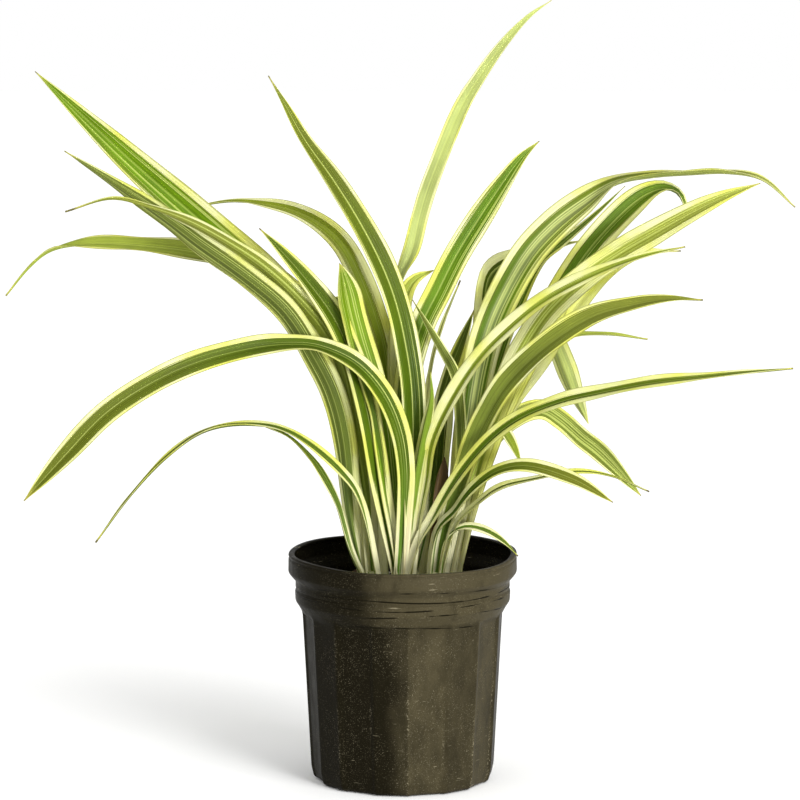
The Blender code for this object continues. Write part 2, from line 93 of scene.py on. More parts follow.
class Tone(Enum):
    """The green of a blade's middle, in sRGB."""

    FRESH = "#66870b"
    LEAFY = "#587614"
    DEEP = "#465c06"
    FOREST = "#3f4d08"
    OLIVE = "#667208"
    MOSS = "#6d7a2c"
    SOFT = "#869824"
    PALE = "#9aa740"
    SAGE = "#a2ac66"
    DRY = "#5c3c1e"


@dataclass(frozen=True)
class Leaf:
    """The form of one blade, as the CAD model has it.

    The root is x, y in mm and the turn there. Each point of the route is x, z, depth in mm and
    the turn. The x and z are as seen from the front, where the line of sight crosses the plane
    of the pot's axis, and the depth is how far the point lies behind that plane. The turn is that
    of the upper face from lying flat, in degrees, and positive towards the viewer. The taper is
    the share of the length where the blade starts to narrow.
    """

    name: str
    width: float
    taper: float
    root: tuple[float, float, float]
    route: tuple[tuple[float, float, float, float], ...]


@dataclass(frozen=True)
class Fan:
    """A fan of blades: the middle and the half sizes of its bundle of sheaths, in mm."""

    name: str
    middle: tuple[float, float]
    half_size: tuple[float, float]
    leaves: tuple[Leaf, ...]


@dataclass(frozen=True)
class Look:
    """How one blade is coloured.

    The left and right are the shares of each half that are cream, as seen from the root along
    the upper face. The dead is the share of the length that is dry at the tip, the stripes are
    how strong the pale lines in the green are, and above 1 a pale stripe runs along the keel.
    The ageing is how olive the green is towards the tip, and the wave is the edges' ripple.
    """

    tone: Tone
    left: float = 0.25
    right: float = 0.25
    dead: float = 0.012
    stripes: float = 0.5
    ageing: float = 0.2
    wave: float = 0.4


FANS = (
    Fan("fan_left", (-22, -5), (9, 8), (
        Leaf("spur", 11, 0.35, (-27, -9, 40), (
            (-38, 165, -14, 45), (-47, 197, -20, 50), (-56, 216, -26, 50), (-67, 233, -32, 50),
            (-81, 248, -38, 50), (-98, 256, -44, 40))),
        Leaf("low_arch", 11, 0.3, (-18, -10, 50), (
            (-30, 198, -18, 50), (-46, 224, -25, 50), (-79, 250, -36, 35), (-109, 257, -46, 10),
            (-141, 252.5, -56, 5), (-168, 234.5, -66, 5), (-194.5, 207, -73, 10), (-221, 172, -80, 5))),
        Leaf("outer_sweep", 20, 0.66, (-27, -4, -60), (
            (-37, 190, -9, -60), (-42, 244, -14, -65), (-50, 278, -18, -65), (-63, 305, -22, -65),
            (-83, 337, -27, -62), (-110, 361, -32, -60), (-145, 386, -38, -58), (-166, 402, -41, -56),
            (-197, 424, -46, -56), (-240, 453, -52, -56))),
        Leaf("olive_sweep", 17, 0.4, (-22, -4, -60), (
            (-26, 203, -7, -62), (-34, 252, -11, -65), (-42, 296, -16, -65), (-56, 324, -22, -65),
            (-74, 346, -27, -62), (-95, 366, -32, -60), (-117, 382, -38, -58), (-150, 401, -46, -52),
            (-181, 413, -53, -35), (-208, 419, -57, -15), (-240, 410, -62, -10))),
        Leaf("drooping_back", 18, 0.6, (-20, 1, 60), (
            (-27, 200, 2, 60), (-33, 255, 8, 60), (-45, 305, 14, 60), (-68, 342, 20, 58),
            (-100, 367, 28, 55), (-145, 380, 38, 52), (-196, 386, 50, 48), (-228, 386, 57, 40),
            (-250, 382, 62, 5), (-266, 370, 66, 5), (-283, 350, 70, 5))),
        Leaf("long_spear", 29, 0.64, (-21, 0, 60), (
            (-24, 215, 0, 72), (-31, 258, 3, 75), (-40, 292, 5, 75), (-54, 316, 6, 75),
            (-77, 340, 8, 75), (-101, 366, 10, 75), (-138, 398, 12, 75), (-183, 437, 15, 75),
            (-220, 471, 18, 75), (-260, 509, 22, 72))),
    )),
    Fan("fan_centre", (-1, -9), (9, 8), (
        Leaf("left_blade", 19, 0.7, (-5, -10, 60), (
            (-15, 200, -13, 70), (-24, 258, -21, 75), (-31, 288, -23, 75), (-38, 309, -24, 75),
            (-50, 335, -25, 75), (-68, 360, -26, 72), (-86, 381, -27, 70), (-102, 398, -28, 65))),
        Leaf("broad_stub", 25, 0.88, (-3, -8, 70), (
            (-10, 205, -9, 75), (-16, 258, -12, 78), (-23, 285, -15, 78), (-33, 317, -19, 80),
            (-40, 345, -24, 80), (-45, 373, -30, 80))),
        Leaf("front_arch", 18, 0.86, (-4, -12, 88), (
            (0, 195, -14, 90), (1, 224, -18, 90), (-3, 252, -22, 86), (-14, 278, -28, 76),
            (-33, 300, -35, 60), (-58, 312, -43, 42), (-81, 314.5, -52, 38), (-110, 311.5, -64, 55),
            (-147, 302, -77, 65), (-180, 287, -90, 68), (-213, 265, -101, 70), (-242, 235, -108, 65),
            (-272, 202, -115, 60))),
        Leaf("tall_spear", 21, 0.58, (1, -7, 60), (
            (4, 180, -8, 70), (7, 235, -7, 75), (6, 283, -8, 78), (1, 318, -9, 78),
            (-6, 347, -11, 78), (-16, 373, -13, 75), (-31, 402, -16, 75), (-49, 431, -19, 75),
            (-70, 461, -23, 75), (-85, 488, -27, 72), (-95, 506, -30, 70))),
        Leaf("young_blade", 11, 0.6, (3, -11, -70), (
            (5, 190, -14, -75), (11, 231, -18, -78), (16, 257, -21, -80), (20, 276, -24, -80),
            (20, 295, -27, -80))),
        Leaf("right_spear", 20.5, 0.76, (1, -3, 60), (
            (0, 200, -2, 70), (1, 250, 1, 73), (4, 295, 5, 75), (13, 328, 9, 78),
            (25, 353, 13, 78), (38, 379, 16, 78), (54, 405, 19, 78), (70, 429, 22, 78),
            (84, 448, 24, 75), (97, 460, 26, 72))),
        Leaf("pale_ribbon", 14.5, 0.66, (5, -10, 60), (
            (12, 188, -13, 65), (17, 217, -17, 65), (21, 245, -21, 65), (34, 274, -26, 65),
            (52, 302, -31, 65), (73, 324, -36, 62), (100, 346, -43, 60), (134, 364, -52, 55),
            (168, 377, -60, 50), (201, 385, -66, 40))),
        Leaf("front_reach", 14, 0.58, (3, -14, 50), (
            (12, 170, -17, 50), (23, 190, -21, 55), (39, 217, -28, 55), (60, 243, -36, 52),
            (83, 261, -44, 50), (112, 273, -52, 47), (142, 280, -60, 45), (180, 287, -68, 42),
            (224, 292, -78, 38), (279, 298, -90, 20))),
    )),
    Fan("fan_back", (4, 18), (9, 8), (
        Leaf("high_arch", 19, 0.55, (0, 17, 60), (
            (-4, 215, 19, 60), (-9, 270, 21, 65), (-13, 310, 24, 68), (-21, 340, 28, 70),
            (-31, 366, 33, 72), (-42, 386, 38, 72), (-57, 400, 44, 65), (-77, 410, 51, 50),
            (-100, 415, 59, 38), (-122, 417, 67, 25), (-147, 414, 76, 20))),
        Leaf("tallest", 13.5, 0.7, (2, 15, -60), (
            (-2, 230, 17, -60), (-6, 290, 19, -50), (-6, 330, 21, -30), (0, 363, 24, 10),
            (7, 383, 26, 50), (12, 407, 29, 75), (20, 433, 33, 78), (39, 480, 42, 78),
            (53, 504, 47, 78), (69.5, 527, 52, 76), (88, 547, 57, 72), (105, 559, 62, 65))),
        Leaf("edge_on", 8, 0.5, (7, 15, 0), (
            (12, 220, 17, 5), (20, 293, 23, 5), (27, 323, 28, 5), (35, 346, 31, 5),
            (41, 361, 34, 5))),
        Leaf("shaded_blade", 21, 0.55, (9, 20, 60), (
            (21, 205, 30, 70), (25, 248, 40, 72), (27, 272, 48, 72), (32, 292, 57, 70),
            (41, 316, 70, 65), (51, 340, 84, 55))),
        Leaf("short_fold", 17, 0.82, (3, 13, 60), (
            (1, 225, 13, 60), (-1, 285, 15, 60), (-1, 325, 15, 58), (2, 348, 15, 52),
            (9, 361, 16, 54), (22, 368, 19, 58))),
        Leaf("back_left_arch", 17, 0.5, (-1, 21, 10), (
            (-10, 250, 38, 15), (-24, 312, 75, 20), (-42, 342, 115, 20), (-60, 344, 150, 15),
            (-71, 330, 182, 10))),
        Leaf("back_arch", 16, 0.5, (4, 23, 0), (
            (4, 235, 48, 0), (1, 298, 95, 5), (-6, 303, 150, 5), (-12, 262, 200, 0))),
        Leaf("back_right_arch", 15, 0.5, (8, 23, 0), (
            (16, 215, 44, 0), (30, 268, 86, 5), (46, 272, 138, 5), (60, 236, 182, 0))),
    )),
    Fan("fan_right_front", (23, -10), (8, 6.5), (
        Leaf("olive_arch", 21, 0.62, (25, -9, 60), (
            (32, 180, -11, 65), (42, 212, -15, 68), (50, 238, -20, 70), (60, 262, -26, 73),
            (76, 288, -34, 72), (102, 313, -46, 68), (134, 334, -57, 64), (165, 343, -66, 55),
            (190, 347, -74, 42), (214, 347, -80, 30))),
        Leaf("low_arch_right", 11.5, 0.78, (20, -12, 40), (
            (25, 178, -15, 45), (38, 194, -21, 45), (51, 211, -29, 50), (69, 224, -38, 55),
            (92, 227, -48, 58), (124, 217, -60, 60), (151, 201, -72, 60))),
        Leaf("thin_arch_right", 8, 0.4, (27, -8, 40), (
            (38, 183, -11, 40), (54, 200, -17, 35), (71, 212, -22, 35), (96, 218, -27, 35),
            (124, 223, -31, 30), (150, 220, -35, 30), (177, 209, -38, 30))),
        Leaf("old_sheath", 9, 0.85, (21, -6, 70), (
            (22, 177, -4, 80), (25, 203, -2, 85), (30, 234, 0, 80))),
        Leaf("rim_leaf", 8.5, 0.5, (27, -11.5, 10), (
            (30, 168, -12, 10), (35, 178, -13, 20), (46, 183, -14, 35), (60, 180, -18, 40),
            (73, 172, -22, 40), (83, 162, -25, 40))),
    )),
    Fan("fan_right", (35, 5), (8, 7), (
        Leaf("great_arch", 26, 0.55, (32, 4, 60), (
            (43, 205, 4, 65), (48, 250, 6, 70), (54, 292, 8, 75), (62, 325, 9, 77),
            (74, 353, 10, 77), (90, 380, 11, 75), (108, 399.5, 12, 72), (129, 415, 13, 52),
            (152, 429, 14, 18), (177, 434, 15, 2), (203, 436, 16, -4), (231, 437, 15, 0),
            (256, 432, 13, 30), (279, 413, 11, 55))),
        Leaf("curled_blade", 22, 0.84, (37, 3, 60), (
            (50, 205, 2, 65), (66, 258, 1, 70), (83, 295, 2, 72), (100, 326, 3, 75),
            (115, 355, 4, 75), (131, 380, 5, 75), (150, 402, 6, 72), (168, 418, 7, 62),
            (183, 425, 8, 35), (193, 424, 9, 20), (199, 417, 10, 40), (201, 407, 11, 55))),
        Leaf("pale_spear", 21, 0.76, (40, 2, 60), (
            (47, 195, -1, 65), (58, 240, -5, 68), (73, 280, -9, 70), (86, 310, -12, 72),
            (105, 339, -15, 74), (132, 364, -18, 74), (155, 380, -21, 74), (179, 394, -24, 74),
            (204, 408, -28, 72), (228, 420, -32, 70), (254, 430, -36, 65))),
        Leaf("cross_blade", 9, 0.66, (31, 2, -60), (
            (39, 205, 0, -65), (42, 240, -2, -65), (41, 272, -4, -68), (38, 293, -6, -70),
            (28, 312, -8, -70), (15, 334, -10, -70), (7, 347, -12, -70))),
        Leaf("folded_back", 20, 0.75, (31, 9, 70), (
            (40, 205, 13, 72), (50, 250, 17, 75), (56, 300, 21, 76), (58, 338, 25, 76),
            (60, 358, 28, 74), (65, 367, 33, 58), (77, 374, 41, 38), (98, 381, 54, 30),
            (126, 389, 72, 30))),
    )),
    Fan("fan_right_back", (33, 25), (8, 7), (
        Leaf("side_blade", 16, 0.7, (36, 21, 60), (
            (42, 183, 19, 65), (51, 215, 19, 66), (62, 246, 20, 68), (79, 276, 20, 70),
            (100, 305, 21, 72), (120, 337, 22, 72), (143, 364, 23, 68), (168, 379, 22, 60),
            (198, 382, 20, 40))),
        Leaf("thin_back", 9, 0.65, (32, 21, 30), (
            (50, 235, 26, 40), (70, 305, 32, 50), (84, 345, 38, 58), (98, 374, 42, 62),
            (114, 388, 46, 64), (137, 408, 51, 64), (158, 428, 57, 64))),
        Leaf("far_ribbon", 11, 0.6, (35, 28, 0), (
            (46, 205, 38, 5), (66, 262, 52, 12), (84, 298, 64, 20), (99, 314, 72, 25),
            (122, 321, 84, 25), (148, 322, 98, 25), (175, 319, 112, 20))),
        Leaf("bent_down", 19, 0.84, (30, 27, 30), (
            (43, 215, 42, 28), (64, 272, 62, 20), (86, 312, 80, 8), (98, 326, 90, -8),
            (106, 320, 96, -20), (113, 304, 101, -28), (122, 281, 108, -32), (133, 258, 114, -32))),
        Leaf("hanging_down", 16, 0.78, (38, 26, 30), (
            (47, 202, 30, 35), (62, 243, 38, 45), (81, 262, 46, 60), (98, 268, 53, 75),
            (112, 261, 60, 88), (127, 248, 70, 92), (143, 235, 80, 92), (171, 206, 96, 92))),
        Leaf("small_tip", 12, 0.8, (39, 22, 10), (
            (47, 198, 23, 15), (61, 237, 27, 30), (69, 252, 30, 50), (76, 246, 33, 62),
            (85, 229, 38, 70))),
        Leaf("back_low_arch", 14, 0.5, (32, 30, 0), (
            (44, 215, 56, 0), (58, 262, 100, 5), (70, 274, 146, 5), (76, 256, 182, 0))),
    )),
)

LOOKS = {
    "spur": Look(Tone.DEEP, 0.16, 0.14),
    "low_arch": Look(Tone.DEEP, 0.42, 0.46, dead=0.01, ageing=0.6),
    "outer_sweep": Look(Tone.FOREST, 0.4, 0.12, dead=0.004, stripes=0.4, ageing=0.2),
    "olive_sweep": Look(Tone.OLIVE, 0.32, 0.3, dead=0.02, stripes=0.4, ageing=0.9),
    "drooping_back": Look(Tone.PALE, 0.26, 0.24, dead=0.003, stripes=0.6, ageing=0.0, wave=0.8),
    "long_spear": Look(Tone.FRESH, 0.2, 0.44, dead=0.004, stripes=0.6, ageing=0.0),
    "left_blade": Look(Tone.DEEP, 0.3, 0.34, dead=0.006, ageing=0.1),
    "broad_stub": Look(Tone.FRESH, 0.1, 0.2, dead=0.0, stripes=0.7),
    "front_arch": Look(Tone.DEEP, 0.18, 0.36, dead=0.002, stripes=0.3, ageing=0.55),
    "tall_spear": Look(Tone.DEEP, 0.1, 0.22, dead=0.003, stripes=0.7, ageing=0.6),
    "young_blade": Look(Tone.FRESH, 0.2, 0.6, dead=0.0),
    "right_spear": Look(Tone.LEAFY, 0.34, 0.26, dead=0.004, stripes=0.75, ageing=0.0),
    "pale_ribbon": Look(Tone.SOFT, 0.85, 0.46, dead=0.002, stripes=0.6),
    "front_reach": Look(Tone.DEEP, 0.58, 0.58, dead=0.003, stripes=0.6, ageing=0.3),
    "high_arch": Look(Tone.SOFT, 0.36, 0.6, dead=0.01, stripes=0.5, ageing=0.45),
    "tallest": Look(Tone.SAGE, 0.18, 0.18, dead=0.0, stripes=0.9, ageing=0.0),
    "edge_on": Look(Tone.PALE, 0.9, 0.9, dead=0.02),
    "shaded_blade": Look(Tone.DEEP, 0.3, 0.5),
    "short_fold": Look(Tone.PALE, 0.6, 0.8, dead=0.0),
    "back_left_arch": Look(Tone.DEEP, 0.18, 0.22, ageing=0.2),
    "back_arch": Look(Tone.FOREST, 0.2, 0.16, dead=0.01, ageing=0.2),
    "back_right_arch": Look(Tone.DEEP, 0.2, 0.2),
    "olive_arch": Look(Tone.MOSS, 0.22, 0.14, dead=0.004, stripes=0.25, ageing=0.6),
    "low_arch_right": Look(Tone.DEEP, 0.46, 0.26, dead=0.006, ageing=0.9),
    "thin_arch_right": Look(Tone.DEEP, 0.7, 0.66),
    "old_sheath": Look(Tone.DRY, 0.0, 0.0, dead=0.9, stripes=0.8, ageing=0.0, wave=1.0),
    "rim_leaf": Look(Tone.DEEP, 0.35, 0.35),
    "great_arch": Look(Tone.LEAFY, 0.36, 0.26, dead=0.002, stripes=1.27, ageing=0.95),
    "curled_blade": Look(Tone.LEAFY, 0.42, 0.46, dead=0.002, stripes=0.5, ageing=0.1),
    "pale_spear": Look(Tone.PALE, 0.52, 0.46, dead=0.002, stripes=1.0, ageing=0.7),
    "cross_blade": Look(Tone.FOREST, 0.3, 0.14, dead=0.006),
    "folded_back": Look(Tone.DEEP, 0.6, 0.24, dead=0.0),
    "side_blade": Look(Tone.PALE, 1.3, 1.3, dead=0.006, stripes=0.9),
    "thin_back": Look(Tone.LEAFY, 0.6, 0.5, dead=0.002),
    "far_ribbon": Look(Tone.PALE, 0.34, 0.34, dead=0.0),
    "bent_down": Look(Tone.SAGE, 0.4, 0.4, dead=0.0, stripes=1.0, ageing=0.0),
    "hanging_down": Look(Tone.MOSS, 0.18, 0.2, dead=0.004, stripes=1.0, ageing=0.0),
    "small_tip": Look(Tone.SOFT, 0.3, 0.3, dead=0.0),
    "back_low_arch": Look(Tone.LEAFY, 0.26, 0.22),
}


def colour(code: str) -> tuple[float, float, float, float]:
    """Turns an sRGB hex code into a linear colour.

    Args:
        code: the colour as #rrggbb.

    Returns:
        Linear red, green, blue and an alpha of 1.
    """
    parts = [int(code[i : i + 2], 16) / 255 for i in (1, 3, 5)]
    linear = [part / 12.92 if part <= 0.04045 else ((part + 0.055) / 1.055) ** 2.4 for part in parts]
    return (linear[0], linear[1], linear[2], 1.0)


def add_node(
    tree: bpy.types.NodeTree, kind: str, inputs: Any = (), output: int | str = 0, **settings: Any
) -> Any:
    """Adds a node with its settings and links.

    Args:
        tree: the node tree to add to.
        kind: the node's type, or in capitals what a Math node does.
        inputs: a value or a socket for each input, in order, or a dict of them by index or name.
        output: the output that is wanted.
        **settings: the node's own properties.

    Returns:
        The wanted output socket, or the node itself if it has none.
    """
    if kind.isupper():
        kind, settings["operation"] = "ShaderNodeMath", kind
    node = tree.nodes.new(kind)
    for name, value in settings.items():
        setattr(node, name, value)
    for key, value in inputs.items() if isinstance(inputs, dict) else enumerate(inputs):
        if isinstance(value, Socket):
            tree.links.new(value, node.inputs[key])
        else:
            node.inputs[key].default_value = value
    return node.outputs[output] if node.outputs else node


def new_material(name: str) -> tuple[Material, Adder]:
    """Starts a material.

    Args:
        name: its name.

    Returns:
        The material with an empty tree, and what adds a node to that tree.
    """
    made = bpy.data.materials.new(name)
    made.use_nodes = True
    made.node_tree.nodes.clear()
    return made, partial(add_node, made.node_tree)


def new_tree(name: str, inputs: dict[str, str], output: str) -> tuple[bpy.types.NodeTree, Any, Adder]:
    """Starts a tree of Geometry Nodes.

    Args:
        name: its name.
        inputs: the kind of each input, by name.
        output: the name of the mesh that it gives.

    Returns:
        The tree, the sockets of its inputs by name, and what adds a node to it.
    """
    tree = bpy.data.node_groups.new(name, "GeometryNodeTree")
    for label, kind in inputs.items():
        tree.interface.new_socket(label, in_out="INPUT", socket_type="NodeSocket" + kind)
    tree.interface.new_socket(output, in_out="OUTPUT", socket_type="NodeSocketGeometry")
    return tree, tree.nodes.new("NodeGroupInput").outputs, partial(add_node, tree)


def run_tree(piece: Piece, tree: bpy.types.NodeTree, values: dict[str, Any]) -> None:
    """Puts a tree on a piece as a modifier.

    Args:
        piece: the piece that it changes.
        tree: the tree.
        values: the values of its inputs by name.
    """
    modifier = piece.modifiers.new(tree.name, "NODES")
    modifier.node_group = tree
    for item in tree.interface.items_tree:
        if item.in_out == "INPUT" and item.name in values:
            modifier[item.identifier] = values[item.name]


def put_attributes(mesh: bpy.types.Mesh, rows: list[dict[str, Any]]) -> None:
    """Writes values on a mesh's points, one attribute for each key.

    Args:
        mesh: the mesh.
        rows: a dict for each point, of numbers, vectors, and tuples for colours.
    """
    for key, value in rows[0].items():
        values = [row[key] for row in rows]
        kind, part = "FLOAT", "value"
        if isinstance(value, (Vector, tuple)):
            kind, part = ("FLOAT_VECTOR", "vector") if isinstance(value, Vector) else ("FLOAT_COLOR", "color")
            values = [number for several in values for number in several]
        mesh.attributes.new(key, kind, "POINT").data.foreach_set(part, values)


def smoothstep(start: float, end: float, value: float) -> float:
    """Rises smoothly from 0 at start to 1 at end.

    Args:
        start: the value where it starts to rise.
        end: the value where it reaches 1.
        value: the value to look up.

    Returns:
        The height there.
    """
    share = min(1.0, max(0.0, (value - start) / (end - start)))
    return share * share * (3 - 2 * share)


def link_new(name: str, data: Any) -> Piece:
    """Puts a mesh, a lamp or a camera in the scene.

    Args:
        name: the object's name.
        data: what it shows.

    Returns:
        The object, at the origin.
    """
    made = bpy.data.objects.new(name, data)
    bpy.context.scene.collection.objects.link(made)
    return made


def turned(name: str, outline: list[Any], steps: int) -> Piece:
    """Turns an outline about the pot's axis, with a live modifier.

    Args:
        name: the blank's name.
        outline: the points of the outline, from one end to the other.
        steps: the number of steps of the turn.

    Returns:
        The blank.
    """
    mesh = bpy.data.meshes.new(name)
    mesh.from_pydata(outline, [(i, i + 1) for i in range(len(outline) - 1)], [])
    blank = link_new(name, mesh)
    turn = blank.modifiers.new("turn", "SCREW")
    turn.steps = turn.render_steps = steps
    turn.use_merge_vertices = True
    turn.merge_threshold = 0.01 * MM
    return blank


def baked(source: Piece, name: str) -> Piece:
    """Applies an object's modifiers and removes the object.

    Args:
        source: the object with live modifiers.
        name: the name of the result.

    Returns:
        A plain mesh object without modifiers.
    """
    bpy.context.view_layer.update()
    graph = bpy.context.evaluated_depsgraph_get()
    mesh = bpy.data.meshes.new_from_object(source.evaluated_get(graph))
    bpy.data.objects.remove(source)
    return link_new(name, mesh)


def face_outwards(mesh: bpy.types.Mesh) -> None:
    """Turns all the faces of a closed mesh outwards.

    Args:
        mesh: the mesh.
    """
    form = bmesh.new()
    form.from_mesh(mesh)
    bmesh.ops.recalc_face_normals(form, faces=form.faces)
    form.to_mesh(mesh)
    form.free()


def set_in(piece: Piece, nodes: str) -> None:
    """Lets a piece stand for a CAD node on the model's one body.

    Args:
        piece: the finished piece.
        nodes: the CAD node that it replaces.
    """
    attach(piece, BODY)
    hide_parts(nodes)
    log.info("%s: %d faces", piece.name, len(piece.data.polygons))


@dataclass(frozen=True)
class LeafSkin:
    """Living leaf blade: a waxy cuticle over soft tissue that lets some light through.

    The wax gives a broad, soft shine, and the light from behind makes the cream parts glow.
    Colours are sRGB, and sizes are in metres. The real veins are about 0.2 mm apart, too fine to
    show, so the veins and lines are drawn a few times coarser.
    """

    cream: str = "#e4e5ae"
    lime: str = "#dadc68"
    glow: str = "#e8eb84"
    seam: str = "#6f6f1c"
    silver: str = "#c6d070"
    old_green: str = "#7d7c2a"
    foot: str = "#f0edc4"
    foot_green: str = "#6d9436"
    blush: str = "#cdb392"
    dead: str = "#4f3d22"
    yellowing: str = "#c2b552"
    under_grey: str = "#93a14c"
    under_share: float = 0.2
    roughness: float = 0.44
    under_roughness: float = 0.56
    veins: float = 13.0
    vein_depth: float = 0.12 * MM
    no_veins: float = 1.5 * MM
    full_veins: float = 7 * MM
    through: float = 0.27
    pale_foot: float = 105 * MM
    wide_foot: float = 0.42
    wider: float = 0.06

    def read(self, node: Adder) -> SimpleNamespace:
        """Reads a blade's attributes, and adds the lines that run along it.

        Args:
            node: what adds a node to the material.

        Returns:
            The values that the rest is made from, by name.
        """
        at = SimpleNamespace(**{
            name: node(ATTRIBUTE, output="Fac", attribute_name=name)
            for name in ("side", "reach", "share", "seed", "stripes", "ageing", "half_width")
        })
        at.green = node(ATTRIBUTE, output="Color", attribute_name="green")
        look = node(ATTRIBUTE, output="Vector", attribute_name="look")
        at.left, at.right, at.dead = (node(SPLIT, (look,), axis) for axis in "XYZ")
        at.half = node("ABSOLUTE", (at.side,))

        # Soft clouds of about 40 mm
        position = node("ShaderNodeTexCoord", output="Object")
        at.clouds = node(NOISE, {"Vector": position, "Scale": 24.0, "Detail": 3.0})

        # Each set of lines changes slowly along the blade and fast across it
        for name, across, along, detail in (
            ("broad", 3.5, 4.0, 2.0), ("bands", 9.0, 2.0, 2.0), ("fine", 30.0, 5.0, 3.0)
        ):
            over = node("MULTIPLY", (at.side, across))
            down = node("MULTIPLY", (at.reach, along))
            place = node(JOIN, (over, down, at.seed))
            setattr(at, name, node(NOISE, {"Vector": place, "Scale": 1.0, "Detail": detail}))

        # The fine ones can't be seen one by one on a narrow tip, so they fade out there
        at.broadness = node(RANGE, (at.half_width, self.no_veins, self.full_veins))
        fine = node("SUBTRACT", (at.fine, 0.5))
        at.fine = node("MULTIPLY_ADD", (fine, at.broadness, 0.5))
        at.streaks = node(RANGE, (at.fine, 0.35, 0.65, -0.07, 0.07))
        at.foot = node(RANGE, (at.reach, 0.1 * self.pale_foot, self.pale_foot, 1.0, 0.0), **SMOOTH)
        return at

    def past_margin(self, node: Adder, at: SimpleNamespace) -> Socket:
        """Finds the cream margins, which are wider at the foot and end along the veins.

        Args:
            node: what adds a node to the material.
            at: the blade's values.

        Returns:
            How far inside its cream margin a place lies: above 0 in the cream and below 0 in the green.
        """
        on_right = node("GREATER_THAN", (at.side, 0.0))
        margin = node(MIX, {0: on_right, 2: at.left, 3: at.right})
        margin = node("MULTIPLY_ADD", (at.foot, self.wide_foot, margin))
        margin = node("ADD", (margin, self.wider))
        tipward = node(RANGE, (at.share, 0.6, 1.0, 1.0, 0.7))
        margin = node("MULTIPLY", (margin, tipward))
        sway = node(RANGE, (at.broad, 0.3, 0.7, -0.1, 0.1))
        past = node("ADD", (at.half, margin))
        past = node("SUBTRACT", (past, 1.0))
        for shift in (sway, at.streaks):
            past = node("ADD", (past, shift))
        return past

    def green_part(self, node: Adder, at: SimpleNamespace) -> Socket:
        """Adds the green, with pale stripes, darker veins, a paler keel and slow changes of depth.

        Args:
            node: what adds a node to the material.
            at: the blade's values.

        Returns:
            The colour of the blade's middle.
        """
        depth = node(RANGE, (at.clouds, 0.3, 0.7, 0.78, 1.2))
        line_depth = node(RANGE, (at.fine, 0.32, 0.68, 0.7, 1.25))
        depth = node("MULTIPLY", (depth, line_depth))
        tinted = node(MIX, {0: 1.0, 6: at.green, 7: depth}, **TINT)
        older = node(RANGE, (at.share, 0.35, 0.95, 0.0, 0.75), **SMOOTH)
        older = node("MULTIPLY", (older, at.ageing))

        # Pale stripes, and a pale line on the keel, which end above the foot
        rarity = node(RANGE, (at.stripes, 0.0, 1.0, 0.72, 0.52))
        pale = node("SUBTRACT", (at.bands, rarity))
        pale = node(RANGE, (pale, 0.0, 0.03, 0.0, 0.62), **SMOOTH)
        keel = node(RANGE, (at.half, 0.02, 0.07, 0.5, 0.0), **SMOOTH)
        keel = node("MULTIPLY", (keel, at.stripes))
        pale = node("MAXIMUM", (pale, keel))
        above_foot = node("SUBTRACT", (1.0, at.foot))
        pale = node("MULTIPLY", (pale, above_foot))

        # A blade whose stripes are above 1 has a broad cream one in its middle
        broad = node("MULTIPLY_ADD", (at.streaks, 2.0, at.half))
        broad = node(RANGE, (broad, 0.2, 0.3, 0.85, 0.0), **SMOOTH)
        striped = node(RANGE, (at.stripes, 1.2, 1.5))
        broad = node("MULTIPLY", (broad, striped))
        faded = node("MULTIPLY", (at.foot, 0.7))
        for share, shade in (
            (older, self.old_green), (pale, self.silver), (broad, self.cream), (faded, self.foot_green)
        ):
            tinted = node(MIX, {0: share, 6: tinted, 7: colour(shade)}, **BLEND)
        foot_lines = node(RANGE, (at.fine, 0.32, 0.68, 0.75, 1.2))
        return node(MIX, {0: at.foot, 6: tinted, 7: foot_lines}, **TINT)

    def cream_part(self, node: Adder, at: SimpleNamespace) -> Socket:
        """Adds the cream, from white to lime, and whiter at the foot.

        Args:
            node: what adds a node to the material.
            at: the blade's values.

        Returns:
            The colour of the blade's margins.
        """
        limed = node(RANGE, (at.clouds, 0.36, 0.66), **SMOOTH)
        cream = node(MIX, {0: limed, 6: colour(self.cream), 7: colour(self.lime)}, **BLEND)
        cream = node(MIX, {0: at.foot, 6: cream, 7: colour(self.foot)}, **BLEND)
        lines = node(RANGE, (at.fine, 0.35, 0.65, 0.74, 1.04))
        return node(MIX, {0: 1.0, 6: cream, 7: lines}, **TINT)

    def marks(self, node: Adder, at: SimpleNamespace, past: Socket) -> list[tuple[Any, str]]:
        """Finds the darker seam and edges, the blushed foot and the dry tip.

        Args:
            node: what adds a node to the material.
            at: the blade's values.
            past: how far inside its cream margin a place lies.

        Returns:
            The strength and the colour of each mark, from the lowest layer to the top one.
        """
        edge = node("MULTIPLY_ADD", (at.streaks, 0.5, at.half))
        edge = node(RANGE, (edge, 0.9, 0.97, 0.0, 0.7), **SMOOTH)

        # The seam between green and cream is weaker at the foot, and ends short of the edge
        seam = node("ADD", (past, 0.03))
        seam = node("ABSOLUTE", (seam,))
        seam = node(RANGE, (seam, 0.0, 0.06, 0.65, 0.0), **SMOOTH)
        for limit in (
            node(RANGE, (at.foot, 0.0, 0.8, 1.0, 0.3)), node(RANGE, (at.half, 0.82, 0.92, 1.0, 0.0))
        ):
            seam = node("MULTIPLY", (seam, limit))
        blush = node(RANGE, (at.broad, 0.52, 0.7, 0.0, 0.5), **SMOOTH)
        near_mix = node(RANGE, (at.reach, 20 * MM, 75 * MM, 1.0, 0.0))
        blush = node("MULTIPLY", (blush, near_mix))

